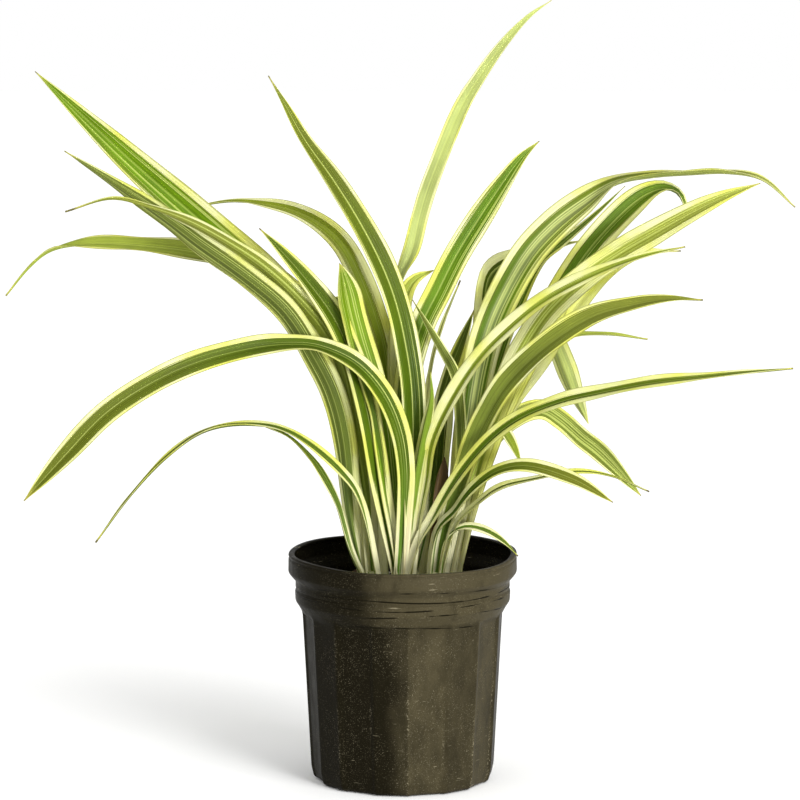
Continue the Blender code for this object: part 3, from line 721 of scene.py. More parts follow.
        # The dry tip has a ragged limit, with a yellowed zone before it
        withered = node("ADD", (at.share, at.dead))
        ragged = node(RANGE, (at.fine, 0.3, 0.7, -0.012, 0.012))
        withered = node("ADD", (withered, ragged))
        yellowed = node(RANGE, (withered, 0.965, 1.0, 0.0, 0.5), **SMOOTH)
        dried = node(RANGE, (withered, 0.996, 1.006), **SMOOTH)
        return [
            (edge, self.seam), (seam, self.seam), (blush, self.blush), (yellowed, self.yellowing),
            (dried, self.dead),
        ]

    def material(self, under: bool) -> Material:
        """Builds the material of the upper or the under face.

        Args:
            under: whether it is the under face, which is duller and greyer.

        Returns:
            The material.
        """
        made, node = new_material("leaf_underside" if under else "leaf_upper_side")
        at = self.read(node)
        past = self.past_margin(node, at)
        creamy = node(RANGE, (past, -0.015, 0.025), **SMOOTH)
        green, cream = self.green_part(node, at), self.cream_part(node, at)
        skin = node(MIX, {0: creamy, 6: green, 7: cream}, **BLEND)
        marks = self.marks(node, at, past)
        if under:
            marks.append((self.under_share, self.under_grey))
        for strength, shade in marks:
            skin = node(MIX, {0: strength, 6: skin, 7: colour(shade)}, **BLEND)

        # Raised veins, soft wax and light from behind
        ribs = node("MULTIPLY", (at.side, math.pi * self.veins))
        ribs = node("SINE", (ribs,))
        relief = node("MULTIPLY_ADD", (at.fine, 1.5, ribs))
        relief = node("MULTIPLY", (relief, at.broadness))
        bump = node("ShaderNodeBump", {"Strength": 0.6, "Distance": self.vein_depth, "Height": relief})
        dull = self.under_roughness if under else self.roughness
        face = node("ShaderNodeBsdfPrincipled", {
            "Base Color": skin, "Roughness": node(RANGE, (at.clouds, 0.3, 0.7, dull - 0.08, dull + 0.08)),
            "Normal": bump, "IOR": 1.42, "Specular IOR Level": 0.16,
        })
        lit = node(MIX, {0: creamy, 6: skin, 7: colour(self.glow)}, **BLEND)
        behind = node("ShaderNodeBsdfTranslucent", {"Color": lit, "Normal": bump})
        node("ShaderNodeOutputMaterial", (node("ShaderNodeMixShader", (self.through, face, behind)),))
        return made


@dataclass(frozen=True)
class PotPlastic:
    """Blow-moulded recycled polyethylene: black with a warm cast, waxy and dusty.

    The mould leaves a fine orange peel, handling leaves short scuffs, and water leaves dust. The
    dust and the chips are drawn as grains of 0.7 to 1.2 mm, because real dust is too fine to show.
    """

    base: str = "#100e07"
    worn_and_lit: str = "#383324"
    sheen: str = "#e9dcb4"
    dust: str = "#a89f84"
    peel: float = 1.1 * MM
    peel_depth: float = 0.06 * MM
    swell: float = 4.0
    score_depth: float = 8.0
    raised_dust: float = 0.7
    # The side that faces the key light, where the film is painted lighter as painted light, and how much film
    # the other side keeps, as painted shade
    lit_side: float = math.radians(-55)
    shaded_side_film: float = 0.05
    band_dust: float = 1.4
    edge_chips: float = 0.3
    score_heights: tuple[float, ...] = (147.5 * MM, 141.5 * MM, 136 * MM, 130.5 * MM, 121.5 * MM)
    roughness: float = 0.42

    @staticmethod
    def around(node: Adder) -> SimpleNamespace:
        """Finds where a place lies on the pot.

        Args:
            node: what adds a node to the material.

        Returns:
            The position, the angle about the axis, the height, and the turn counted in pairs of panels.
        """
        at = SimpleNamespace(position=node("ShaderNodeTexCoord", output="Object"))
        x, y, at.height = (node(SPLIT, (at.position,), axis) for axis in "XYZ")
        at.angle = node("ARCTAN2", (y, x))
        turn = node("SUBTRACT", (at.angle, FLUTE_PHASE))
        at.turn = node("MULTIPLY", (turn, FLUTE_PAIRS / math.tau))
        return at

    def dust_and_lit_side(self, node: Adder, at: SimpleNamespace) -> Socket:
        """Adds a mask of the lighter film: dust, most in its hollow panels, and painted light on the side of
        the pot that faces the key light.

        Args:
            node: what adds a node to the material.
            at: where a place lies on the pot.

        Returns:
            1 on the dusty, lit parts, and close to 0 on the side in painted shade and inside the pot.
        """
        turn = node("FRACT", (at.turn,))
        panel = node(RANGE, (turn, 0.5, 0.58, 1.0, self.raised_dust))
        upper = node(RANGE, (at.height, BAND_FOOT - BAND_EDGE, BAND_FOOT, 0.0, 1.0))
        banded = node("MULTIPLY", (upper, self.band_dust))
        panel = node("MAXIMUM", (panel, banded))

        # The side that faces the key light is painted lighter, as painted light, and ends in a ragged edge,
        # which is wider on the band
        ragged = node(NOISE, {"Vector": at.position, "Scale": 30.0, "Detail": 5.0})
        ragged = node("MULTIPLY_ADD", (ragged, 0.5, at.angle))
        facing_light = node("SUBTRACT", (ragged, self.lit_side + 0.25))
        facing_light = node("COSINE", (facing_light,))
        edge = node(RANGE, {0: upper, 3: 0.66, 4: 0.45})
        side = node(RANGE, (facing_light, edge, 0.9, self.shaded_side_film, 1.0), **SMOOTH)
        dust_and_light = node("MULTIPLY", (panel, side))

        # Little dust inside the pot, where the faces look towards its axis
        normal = node("ShaderNodeNewGeometry", output="Normal")
        level = node(VECTOR, (at.position, (1.0, 1.0, 0.0)), operation="MULTIPLY")
        outside = node(VECTOR, (normal, level), operation="DOT_PRODUCT", output="Value")
        outside = node(RANGE, (outside, -20 * MM, 0.0, 0.1, 1.0))
        return node("MULTIPLY", (dust_and_light, outside))

    def chips(self, node: Adder, at: SimpleNamespace) -> Socket:
        """Adds the pale chips along the edges of the raised panels.

        Args:
            node: what adds a node to the material.
            at: where a place lies on the pot.

        Returns:
            The strength of the chips.
        """
        gap = node("PINGPONG", (at.turn, 0.25))
        near = node(RANGE, (gap, 0.0, 0.03, self.edge_chips, 0.0), **SMOOTH)
        below = node("LESS_THAN", (at.height, BAND_FOOT - BAND_EDGE))
        stretch = node(NOISE, {"Vector": at.position, "Scale": 26.0, "Detail": 1.0})
        stretch = node(RANGE, (stretch, 0.48, 0.6))
        for limit in (below, stretch):
            near = node("MULTIPLY", (near, limit))
        chipped = node(NOISE, {"Vector": at.position, "Scale": 900.0, "Detail": 3.0})
        chipped = node(RANGE, (chipped, 0.52, 0.64), **SMOOTH)
        return node("MULTIPLY", (chipped, near))

    def shaded_score_lines(self, node: Adder, at: SimpleNamespace) -> Socket:
        """Adds the broken, thin lines that the mould's rings left round the band, which are also painted dark
        as painted shade.

        Args:
            node: what adds a node to the material.
            at: where a place lies on the pot.

        Returns:
            1 in the lines and 0 elsewhere.
        """
        groove_and_shade = 0.0
        for number, level in enumerate(self.score_heights):
            sway = node("MULTIPLY_ADD", (at.angle, 3.0, number * 1.7))
            sway = node("SINE", (sway,))
            sway = node("MULTIPLY_ADD", (sway, 1.1 * MM, level))
            gap = node("SUBTRACT", (at.height, sway))
            gap = node("ABSOLUTE", (gap,))
            place = node(JOIN, (at.angle, number * 7.3, 0.0))
            breaks = node(NOISE, {"Vector": place, "Scale": 3.1, "Detail": 2.0})
            width = node(RANGE, (breaks, 0.48, 0.62, 0.001 * MM, 0.9 * MM))
            line = node("DIVIDE", (gap, width))
            line = node(RANGE, (line, 0.3, 0.8, 1.0, 0.0), **SMOOTH)
            groove_and_shade = node("MAXIMUM", (line, groove_and_shade))
        return groove_and_shade

    def material(self) -> Material:
        """Builds the plastic from object coordinates.

        Returns:
            The material.
        """
        made, node = new_material("black_polyethylene")
        at = self.around(node)

        # A weathered film, in upright patches of 10 by 20 mm, which is also painted lighter, as painted
        # light, on the side that faces the key light
        upright = node("ShaderNodeMapping", {"Vector": at.position, "Scale": (100.0, 100.0, 46.0)})
        film = node(NOISE, {"Vector": upright, "Scale": 1.0, "Detail": 6.0, "Roughness": 0.65})
        film_and_light = node(RANGE, (film, 0.3, 0.7, 0.45, 1.15))
        film_and_light = node("MULTIPLY", (film_and_light, self.dust_and_lit_side(node, at)))
        skin = node(MIX, {0: film_and_light, 6: colour(self.base), 7: colour(self.worn_and_lit)}, **BLEND)

        # Dust grains of two sizes, gathered in patches, flat scuffs and chips
        gather = node(NOISE, {"Vector": at.position, "Scale": 38.0, "Detail": 4.0})
        gather = node(RANGE, (gather, 0.35, 0.65, 0.25, 1.0), **SMOOTH)
        marks = 0.0
        for scale, limit, strength in ((1500.0, 0.64, 0.2), (800.0, 0.74, 0.42)):
            grains = node(NOISE, {"Vector": at.position, "Scale": scale, "Detail": 1.0, "Roughness": 0.6})
            grains = node(RANGE, (grains, limit, limit + 0.05, 0.0, strength), **SMOOTH)
            grains = node("MULTIPLY", (grains, gather))
            marks = node("MAXIMUM", (grains, marks))
        squashed = node("ShaderNodeMapping", {"Vector": at.position, "Scale": (70.0, 70.0, 900.0)})
        scuffs = node(NOISE, {"Vector": squashed, "Scale": 1.0, "Detail": 3.0})
        scuffs = node(RANGE, (scuffs, 0.7, 0.76, 0.0, 0.35), **SMOOTH)
        for mark in (scuffs, self.chips(node, at)):
            marks = node("MAXIMUM", (marks, mark))
        # The mould's lines cut the relief and are painted in the dark base colour, as painted shade in their
        # grooves
        groove_and_shade = self.shaded_score_lines(node, at)
        for share, shade in ((marks, self.dust), (groove_and_shade, self.base)):
            skin = node(MIX, {0: share, 6: skin, 7: colour(shade)}, **BLEND)

        # Orange peel on a soft swell of about 8 mm, cut by the scuffs and the mould's lines
        peel = node(NOISE, {"Vector": at.position, "Scale": 1 / self.peel, "Detail": 2.0})
        swell = node(NOISE, {"Vector": at.position, "Scale": 120.0, "Detail": 1.0})
        relief = node("MULTIPLY_ADD", (swell, self.swell, peel))
        relief = node("SUBTRACT", (relief, scuffs))
        relief = node("MULTIPLY_ADD", (groove_and_shade, -self.score_depth, relief))
        bump = node("ShaderNodeBump", {"Strength": 0.8, "Distance": self.peel_depth, "Height": relief})
        face = node("ShaderNodeBsdfPrincipled", {
            "Base Color": skin, "Normal": bump, "IOR": 1.12, "Specular IOR Level": 0.4,
            "Roughness": node(RANGE, (film, 0.3, 0.7, self.roughness - 0.08, self.roughness + 0.1)),
            "Specular Tint": colour(self.sheen),
        })
        node("ShaderNodeOutputMaterial", (face,))
        return made


@dataclass(frozen=True)
class Crumb:
    """Loose matter in the potting mix: composted bark, peat or expanded perlite, all matt."""

    name: str
    low: str
    high: str
    grain: float
    roughness: float = 0.95
    relief: float = 0.3 * MM

    def material(self) -> Material:
        """Builds a matt, grainy material between the two colours.

        Returns:
            The material.
        """
        made, node = new_material(self.name)
        position = node("ShaderNodeTexCoord", output="Object")
        grain = node(NOISE, {"Vector": position, "Scale": 1 / self.grain, "Detail": 5.0})
        share = node(RANGE, (grain, 0.35, 0.65))
        skin = node(MIX, {0: share, 6: colour(self.low), 7: colour(self.high)}, **BLEND)
        bump = node("ShaderNodeBump", {"Strength": 0.8, "Distance": self.relief, "Height": grain})
        face = {"Base Color": skin, "Roughness": self.roughness, "Normal": bump}
        node("ShaderNodeOutputMaterial", (node("ShaderNodeBsdfPrincipled", face),))
        return made


@dataclass
class BladeMaker:
    """Makes the blades of a fan from rails: a rail is a blade's midrib with its frame at each point.

    Sizes are in metres and angles in degrees.
    """

    step: float = 4.5 * MM
    fine_steps: int = 24
    around: int = 36
    thickness: float = 0.8 * MM
    keel: float = 0.5 * MM
    keel_width: float = 0.16
    keel_softness: float = 0.01
    bow: float = 0.06
    foot_share: float = 0.8
    widest_from: float = 0.38
    taper_power: float = 1.9
    narrowest: float = 0.35 * MM
    fold_foot: float = 40.0
    fold_blade: float = 20.0
    fold_tip: float = 30.0
    fold_opens_by: float = 0.35
    ripple: float = 1.6 * MM
    ripple_length: float = 62 * MM
    ripple_slant: float = 1.4
    ripple_power: float = 2.5
    ripple_grows: tuple[float, float] = (0.2, 0.5)
    ripple_fades: tuple[float, float] = (0.85, 1.0)
    shades: tuple[float, float] = (0.9, 1.1)
    tree: bpy.types.NodeTree = field(init=False)

    def __post_init__(self) -> None:
        """Builds the node tree once for all fans."""
        self.tree = self.build_tree()

    def build_tree(self) -> bpy.types.NodeTree:
        """Builds the tree that wraps a lens-shaped, folded section along the rails.

        Returns:
            The node tree, whose inputs are the section's sizes and the two skins.
        """
        tree, given, node = new_tree("blades_along_rails", {
            "Rails": "Geometry", "Points around": "Int", "Thickness": "Float", "Keel": "Float",
            "Ripple": "Float", "Ripple length": "Float", "Upper side": "Material", "Underside": "Material",
        }, "Blades")
        at = SimpleNamespace(**{
            name: node("GeometryNodeInputNamedAttribute", {"Name": name}, data_type=kind)
            for kind, names in (
                ("FLOAT_VECTOR", ("middle", "across", "raised")),
                ("FLOAT", ("half_width", "fold", "reach", "seed", "wave", "side", "face")),
            )
            for name in names
        })

        # The section starts as a circle: its x is the side and its y the face
        ring = node("GeometryNodeCurvePrimitiveCircle", {"Resolution": given["Points around"], "Radius": 1.0})
        spot = node("GeometryNodeInputPosition")
        for name, axis in (("side", "X"), ("face", "Y")):
            value = node(SPLIT, (spot,), axis)
            ring = node(
                "GeometryNodeStoreNamedAttribute", {"Geometry": ring, "Name": name, "Value": value},
                data_type="FLOAT", domain="POINT",
            )
        rails = node("GeometryNodeMeshToCurve", {"Mesh": given["Rails"]})
        made = node("GeometryNodeCurveToMesh", {"Curve": rails, "Profile Curve": ring, "Fill Caps": True})

        # Each half leans up by the fold, rounds off at the keel and bows a little
        half = node("ABSOLUTE", (at.side,))
        soft = node("POWER", (half, 2.0))
        soft = node("ADD", (soft, self.keel_softness))
        soft = node("SQRT", (soft,))
        lean = node("SINE", (at.fold,))
        bow = node("MULTIPLY", (half, math.pi))
        bow = node("SINE", (bow,))
        bow = node("MULTIPLY", (bow, self.bow))
        rise = node("MULTIPLY_ADD", (soft, lean, bow))
        rise = node("MULTIPLY", (rise, at.half_width))
        flat = node("COSINE", (at.fold,))
        for factor in (at.side, at.half_width):
            flat = node("MULTIPLY", (flat, factor))

        # Thickness, thickest at the keel on the underside
        skin = node("MULTIPLY", (given["Thickness"], 0.5))
        skin = node("MULTIPLY", (skin, at.face))
        near_keel = node(RANGE, (half, 0.0, self.keel_width, 1.0, 0.0), **SMOOTH)
        under = node("LESS_THAN", (at.face, 0.0))
        for factor in (under, given["Keel"]):
            near_keel = node("MULTIPLY", (near_keel, factor))
        skin = node("SUBTRACT", (skin, near_keel))
        rise = node("ADD", (rise, skin))

        # Ripples that grow towards the edges
        phase = node("DIVIDE", (at.reach, given["Ripple length"]))
        phase = node("MULTIPLY_ADD", (phase, math.tau, at.seed))
        phase = node("MULTIPLY_ADD", (at.side, self.ripple_slant, phase))
        ripple = node("SINE", (phase,))
        edge = node("POWER", (half, self.ripple_power))
        for factor in (edge, at.wave):
            ripple = node("MULTIPLY", (ripple, factor))
        rise = node("MULTIPLY_ADD", (ripple, given["Ripple"], rise))

        side_move = node(VECTOR, {0: at.across, "Scale": flat}, operation="SCALE")
        up_move = node(VECTOR, {0: at.raised, "Scale": rise}, operation="SCALE")
        place = node(VECTOR, (side_move, up_move), operation="ADD")
        place = node(VECTOR, (place, at.middle), operation="ADD")
        for kind, values in (
            ("SetPosition", {"Position": place}), ("SetShadeSmooth", {"Shade Smooth": True}),
            ("RealizeInstances", {}), ("SetMaterial", {"Material": given["Upper side"]}),
            ("SetMaterial", {"Selection": under, "Material": given["Underside"]}),
        ):
            made = node("GeometryNode" + kind, {"Geometry": made, **values})
        node("NodeGroupOutput", (made,))
        return tree

    @staticmethod
    def in_space(x: float, z: float, depth: float) -> Vector:
        """Places a traced point at its depth.

        Args:
            x: where the line of sight crosses the plane of the pot's axis, from left to right.
            z: the height where it crosses that plane.
            depth: how far the point lies behind the plane.

        Returns:
            The point on that line of sight.
        """
        away = 1 + depth / VIEW_DISTANCE
        return Vector((x * away, depth, VIEW_HEIGHT + (z - VIEW_HEIGHT) * away))

    @staticmethod
    def curve_point(points: list[Vector], place: float) -> Vector:
        """Reads a smooth curve through points.

        Args:
            points: the points that it passes through.
            place: where to read it, from 0 to one less than the number of points.

        Returns:
            The point there.
        """
        index = min(int(place), len(points) - 2)
        share = place - index
        first, last = points[index], points[index + 1]
        before = points[index - 1] if index else 2 * first - last
        after = points[index + 2] if index + 2 < len(points) else 2 * last - first
        return 0.5 * (
            2 * first
            + (last - before) * share
            + (2 * before - 5 * first + 4 * last - after) * share**2
            + (3 * first - before - 3 * last + after) * share**3
        )

    def midrib(self, leaf: Leaf) -> list[tuple[float, float, Vector, float]]:
        """Walks a blade's midrib in even steps.

        Args:
            leaf: the blade.

        Returns:
            For each step the share of the length, the length from the root, the point and the turn.
        """
        x, y, turn = leaf.root
        points = [Vector((x * MM, y * MM, ROOT_HEIGHT, math.radians(turn)))]
        for x, z, depth, turn in leaf.route:
            points.append(Vector((*self.in_space(x * MM, z * MM, depth * MM), math.radians(turn))))
        count = self.fine_steps * len(leaf.route)
        curve = [self.curve_point(points, i / self.fine_steps) for i in range(count + 1)]
        travelled = [0.0]
        for start, end in zip(curve, curve[1:]):
            travelled.append(travelled[-1] + (end - start).xyz.length)
        count = round(travelled[-1] / self.step)
        steps = []
        index = 0
        for number in range(count + 1):
            goal = travelled[-1] * number / count
            while index < len(travelled) - 2 and travelled[index + 1] < goal:
                index += 1
            share = (goal - travelled[index]) / (travelled[index + 1] - travelled[index])
            spot = curve[index].lerp(curve[index + 1], share)
            steps.append((number / count, goal, spot.xyz, spot.w))
        return steps

    def half_width(self, leaf: Leaf, share: float) -> float:
        """Gives half of a blade's width.

        Args:
            leaf: the blade.
            share: the share of its length.

        Returns:
            Half the width in metres.
        """
        spread = self.foot_share + (1 - self.foot_share) * smoothstep(0, self.widest_from, share)
        past = max(0.0, (share - leaf.taper) / (1 - leaf.taper))
        return max(self.narrowest, 0.5 * leaf.width * MM * spread * (1 - past**self.taper_power))

    def fold(self, share: float) -> float:
        """Gives how far each half is folded up.

        Args:
            share: the share of the blade's length.

        Returns:
            The angle in radians.
        """
        opened = smoothstep(0, self.fold_opens_by, share)
        angle = self.fold_foot + (self.fold_blade - self.fold_foot) * opened
        return math.radians(angle + (self.fold_tip - self.fold_blade) * share**3)

    def rail_rows(self, leaf: Leaf, look: Look, draw: random.Random) -> list[dict[str, Any]]:
        """Works out the frame and the finish at each step of a blade.

        Args:
            leaf: the blade.
            look: its colours.
            draw: the source of its small random differences.

        Returns:
            One dict of attribute values for each point of the rail.
        """
        steps = self.midrib(leaf)
        heading = steps[-1][2] - steps[0][2]
        sideways = Vector((heading.x, heading.y, 0)).cross(Vector((0, 0, 1))).normalized()
        to_front = -1 if heading.x < 0 else 1
        same: dict[str, Any] = {
            "seed": draw.uniform(0, SEED_SPAN), "look": Vector((look.left, look.right, look.dead)),
            "stripes": look.stripes, "ageing": look.ageing,
        }
        shade = draw.uniform(*self.shades)
        same["green"] = tuple(part * shade for part in colour(look.tone.value)[:3]) + (1.0,)
        rows = []
        for number, (share, reach, middle, turn) in enumerate(steps):
            wave = smoothstep(*self.ripple_grows, share) * (1 - smoothstep(*self.ripple_fades, share))
            ahead = steps[min(number + 1, len(steps) - 1)][2]
            behind = steps[max(number - 1, 0)][2]
            along = (ahead - behind).normalized()
            level = (sideways - sideways.dot(along) * along).normalized()
            spin = Matrix.Rotation(to_front * turn, 3, along)
            rows.append({
                "middle": middle, "across": spin @ level, "raised": spin @ level.cross(along),
                "half_width": self.half_width(leaf, share), "fold": self.fold(share), "share": share,
                "reach": reach, **same,
                "wave": look.wave * wave,
            })
        return [{**rows[0], "middle": rows[0]["middle"] - Vector((0, 0, ROOT_SINK))}] + rows

    def make(self, name: str, leaves: Iterable[Leaf], skins: tuple[Material, Material], seed: int) -> Piece:
        """Makes one mesh of all the blades of a fan.

        Args:
            name: the name of the piece.
            leaves: its blades.
            skins: the materials of the upper side and the underside.
            seed: the seed of the small random differences.

        Returns:
            The finished mesh object.
        """
        draw = random.Random(seed)
        rows: list[dict[str, Any]] = []
        edges: list[tuple[int, int]] = []
        for leaf in leaves:
            start = len(rows)
            rows += self.rail_rows(leaf, LOOKS[leaf.name], draw)
            edges += [(i, i + 1) for i in range(start, len(rows) - 1)]
        mesh = bpy.data.meshes.new(name + "_rails")
        mesh.from_pydata([row["middle"] for row in rows], edges, [])
        put_attributes(mesh, rows)
        rails = link_new(name + "_rails", mesh)
        run_tree(rails, self.tree, {
            "Points around": self.around, "Thickness": self.thickness, "Keel": self.keel,
            "Ripple": self.ripple, "Ripple length": self.ripple_length,
            "Upper side": skins[0], "Underside": skins[1],
        })
        made = baked(rails, name)
        face_outwards(made.data)
        return made


@dataclass(frozen=True)
class SheathBundle:
    """The clasped leaf bases of one fan, which stand in the potting mix under the blades."""

    foot: float = 118 * MM
    shoulder: float = 145 * MM
    top: float = 152 * MM
    tip_share: float = 0.5
    fullness: float = 0.96
    around: int = 64
    rings: int = 16
    sheaths: int = 3
    groove: float = 0.12
    groove_power: int = 6
    shoulder_power: float = 1.4
    look: Look = Look(Tone.SOFT, 0.35, 0.35, dead=0.0, stripes=0.8, ageing=0.0)
    share: float = 0.3

    def make(self, fan: Fan, skin: Material, seed: int) -> Piece:
        """Makes the bundle as a grooved oval stem with a rounded top.

        Args:
            fan: the fan that it carries.
            skin: the material of its sheaths.
            seed: the seed of its colours.

        Returns:
            The bundle's mesh object.
        """
        look = self.look
        offset = random.Random(seed).uniform(0, SEED_SPAN)
        points, rows = [], []
        for ring in range(self.rings + 1):
            height = self.foot + (self.top - self.foot) * (ring / self.rings)
            narrow = smoothstep(self.shoulder, self.top, height) ** self.shoulder_power
            narrow = 1 - (1 - self.tip_share) * narrow
            for step in range(self.around):
                angle = math.tau * step / self.around
                sheath = angle / math.tau * self.sheaths * 2 + 0.5
                lobe = sheath % 1
                dent = self.groove * (abs(lobe - 0.5) * 2) ** self.groove_power
                spread = (self.fullness - dent) * narrow
                points.append((
                    fan.middle[0] * MM + fan.half_size[0] * MM * spread * math.cos(angle),
                    fan.middle[1] * MM + fan.half_size[1] * MM * spread * math.sin(angle),
                    height,
                ))
                rows.append({
                    "side": 2 * lobe - 1, "reach": max(0.0, height - ROOT_HEIGHT), "share": self.share,
                    "seed": offset + int(sheath), "stripes": look.stripes, "ageing": look.ageing,
                    "look": Vector((look.left, look.right, look.dead)), "green": colour(look.tone.value),
                })
        faces = []
        for low in range(0, self.rings * self.around, self.around):
            for step in range(self.around):
                after = (step + 1) % self.around
                faces.append((low + step, low + after, low + self.around + after, low + self.around + step))
        faces.append(tuple(reversed(range(self.around))))
        faces.append(tuple(range(len(points) - self.around, len(points))))
        mesh = bpy.data.meshes.new(fan.name + "_sheaths")
        mesh.from_pydata(points, [], faces)
        mesh.shade_smooth()
        put_attributes(mesh, rows)
        mesh.materials.append(skin)
        return link_new(fan.name + "_sheaths", mesh)


@dataclass
class NurseryPot:
    """The black pot: a fluted, tapering wall under a smooth band, with a turned-down lip.

    Heights and radii are in metres, and match the CAD model's. The dents and the waves of the rim
    are how many go round it and the angle that they start from.
    """

    height: float = 165 * MM
    lip_radius: float = 83 * MM
    lip_depth: float = 15 * MM
    band_radius: float = 77.5 * MM
    wall_top_radius: float = 72.5 * MM
    wall_foot_radius: float = 66.5 * MM
    wall_foot: float = 10 * MM
    sole_radius: float = 52 * MM
    channel_width: float = 8.5 * MM
    channel_depth: float = 3 * MM
    wall: float = 1.6 * MM
    corner: float = 1.6 * MM
    corner_share: float = 0.45
    corner_steps: int = 4
    notch_height: float = 139.5 * MM
    flute_depth: float = 1.6 * MM
    flute_edge: float = 0.07
    flatness: float = 1.5 * MM
    rim_wave: float = 0.8 * MM
    rim_waves: tuple[tuple[float, float], ...] = ((2.0, 0.7), (5.0, 2.1))
    rim_dent: float = 0.9 * MM
    rim_dents: tuple[float, float] = (6.0, 0.4)
    rim_tilt: float = 2.4 * MM
    drain_count: int = 8
    drain_radius: float = 3 * MM
    drain_sides: int = 24
    drill_middle: float = 2.5 * MM
    drill_length: float = 15 * MM
    steps: int = 320
    band_step: float = 0.8 * MM
    wall_step: float = 4 * MM

    def outline(self) -> list[tuple[float, float]]:
        """Gives the outer side as radius and height, from the lip's inner edge to the axis.

        Returns:
            The corners of the outline.
        """
        lip, band, top = self.lip_radius, self.band_radius, self.height
        under_lip, notch = top - self.lip_depth, self.notch_height
        sole, channel = self.sole_radius, self.sole_radius + self.channel_width
        return [
            (lip - 4.5 * MM, top - 1 * MM), (lip - 3.2 * MM, top), (lip - 0.4 * MM, top - 0.1 * MM),
            (lip, top - 1.2 * MM), (lip - 0.9 * MM, top - 2.6 * MM), (lip - 0.1 * MM, top - 3.8 * MM),
            (lip - 0.2 * MM, under_lip + 2 * MM), (lip - 1.6 * MM, under_lip),
            (band - 0.2 * MM, under_lip - 4.5 * MM), (band - 0.3 * MM, notch + 1.2 * MM),
            (band - 1.2 * MM, notch), (band, notch - 1.5 * MM), (band - 0.3 * MM, BAND_FOOT + 6 * MM),
            (band - 2 * MM, BAND_FOOT + 3.5 * MM), (self.wall_top_radius + 0.6 * MM, BAND_FOOT - 0.5 * MM),
            (self.wall_top_radius, BAND_FOOT - 3.5 * MM), (self.wall_foot_radius, self.wall_foot),
            (self.wall_foot_radius - 1.8 * MM, 2 * MM), (channel + 1 * MM, 0),
            (channel, self.channel_depth), (sole + 1 * MM, self.channel_depth), (sole, 0), (0, 0),
        ]

    def rounded(self, corners: list[tuple[float, float]]) -> list[Vector]:
        """Rounds an outline's corners and cuts its long sides into short steps.

        Args:
            corners: the corners as radius and height.

        Returns:
            The points of the rounded outline.
        """
        spots = [Vector((radius, 0, height)) for radius, height in corners]
        path = [spots[0]]
        for before, corner, after in zip(spots, spots[1:], spots[2:]):
            back, ahead = before - corner, after - corner
            cut = min(self.corner, self.corner_share * back.length, self.corner_share * ahead.length)
            start, end = corner + back.normalized() * cut, corner + ahead.normalized() * cut
            for step in range(self.corner_steps + 1):
                share = step / self.corner_steps
                path.append(start.lerp(corner, share).lerp(corner.lerp(end, share), share))
        path.append(spots[-1])
        points = [path[0]]
        for start, end in zip(path, path[1:]):
            on_band = BAND_FOOT < end.z < self.height - self.lip_depth
            longest = self.band_step if on_band else self.wall_step
            pieces = max(1, math.ceil((end - start).length / longest))
            points += [start.lerp(end, piece / pieces) for piece in range(1, pieces + 1)]
        return points

    def press_tree(self) -> bpy.types.NodeTree:
        """Builds the tree that presses flutes and a wavy, dented rim into the turned blank.

        Returns:
            The node tree, with the sizes of the flutes and the rim as inputs.
        """
        sizes = ("Pairs", "Depth", "Flatness", "Phase", "Edge", "Rim wave", "Rim dent", "Rim tilt")
        kinds = {"Blank": "Geometry", **dict.fromkeys(sizes, "Float"), "Plastic": "Material"}
        tree, given, node = new_tree("pressed_flutes", kinds, "Pot")
        spot = node("GeometryNodeInputPosition")
        x, y, z = (node(SPLIT, (spot,), axis) for axis in "XYZ")
        angle = node("ARCTAN2", (y, x))
        flat = node(JOIN, (x, y, 0.0))
        radius = node(VECTOR, (flat,), "Value", operation="LENGTH")
        outward = node(VECTOR, (flat,), operation="NORMALIZE")

        # Every other panel stands in
        turn = node("SUBTRACT", (angle, given["Phase"]))
        turn = node("DIVIDE", (turn, math.tau))
        turn = node("MULTIPLY", (turn, given["Pairs"]))
        turn = node("FRACT", (turn,))
        half_end = node("ADD", (given["Edge"], 0.5))
        steps_in = node(RANGE, (turn, 0.0, given["Edge"]), **SMOOTH)
        steps_out = node(RANGE, (turn, 0.5, half_end), **SMOOTH)
        recess = node("SUBTRACT", (steps_in, steps_out))
        recess = node("MULTIPLY", (recess, given["Depth"]))

        # Each panel is flat, so its middle stands in by the height of its arc
        panel = node("MULTIPLY_ADD", (given["Edge"], -0.5, turn))
        panel = node("MULTIPLY", (panel, 2.0))
        panel = node("FRACT", (panel,))
        panel = node("MULTIPLY_ADD", (panel, 2.0, -1.0))
        panel = node("POWER", (panel, 2.0))
        panel = node("SUBTRACT", (1.0, panel))
        recess = node("MULTIPLY_ADD", (panel, given["Flatness"], recess))
        below_band = node(RANGE, (z, BAND_FOOT - BAND_EDGE, BAND_FOOT, 1.0, 0.0), **SMOOTH)
        past_sole = self.sole_radius + 0.8 * self.channel_width
        for limit in (below_band, node("GREATER_THAN", (radius, past_sole))):
            recess = node("MULTIPLY", (recess, limit))

        # The lip is dented
        at_lip = node(RANGE, (z, self.height - 2 * self.lip_depth, self.height), **SMOOTH)
        dent = node("MULTIPLY_ADD", (angle, *self.rim_dents))
        dent = node("COSINE", (dent,))
        dent = node("MULTIPLY_ADD", (dent, 0.5, 0.5))
        dent = node("MULTIPLY", (dent, at_lip))
        recess = node("MULTIPLY_ADD", (dent, given["Rim dent"], recess))
        inward = node("MULTIPLY", (recess, -1.0))
        move = node(VECTOR, {0: outward, "Scale": inward}, operation="SCALE")

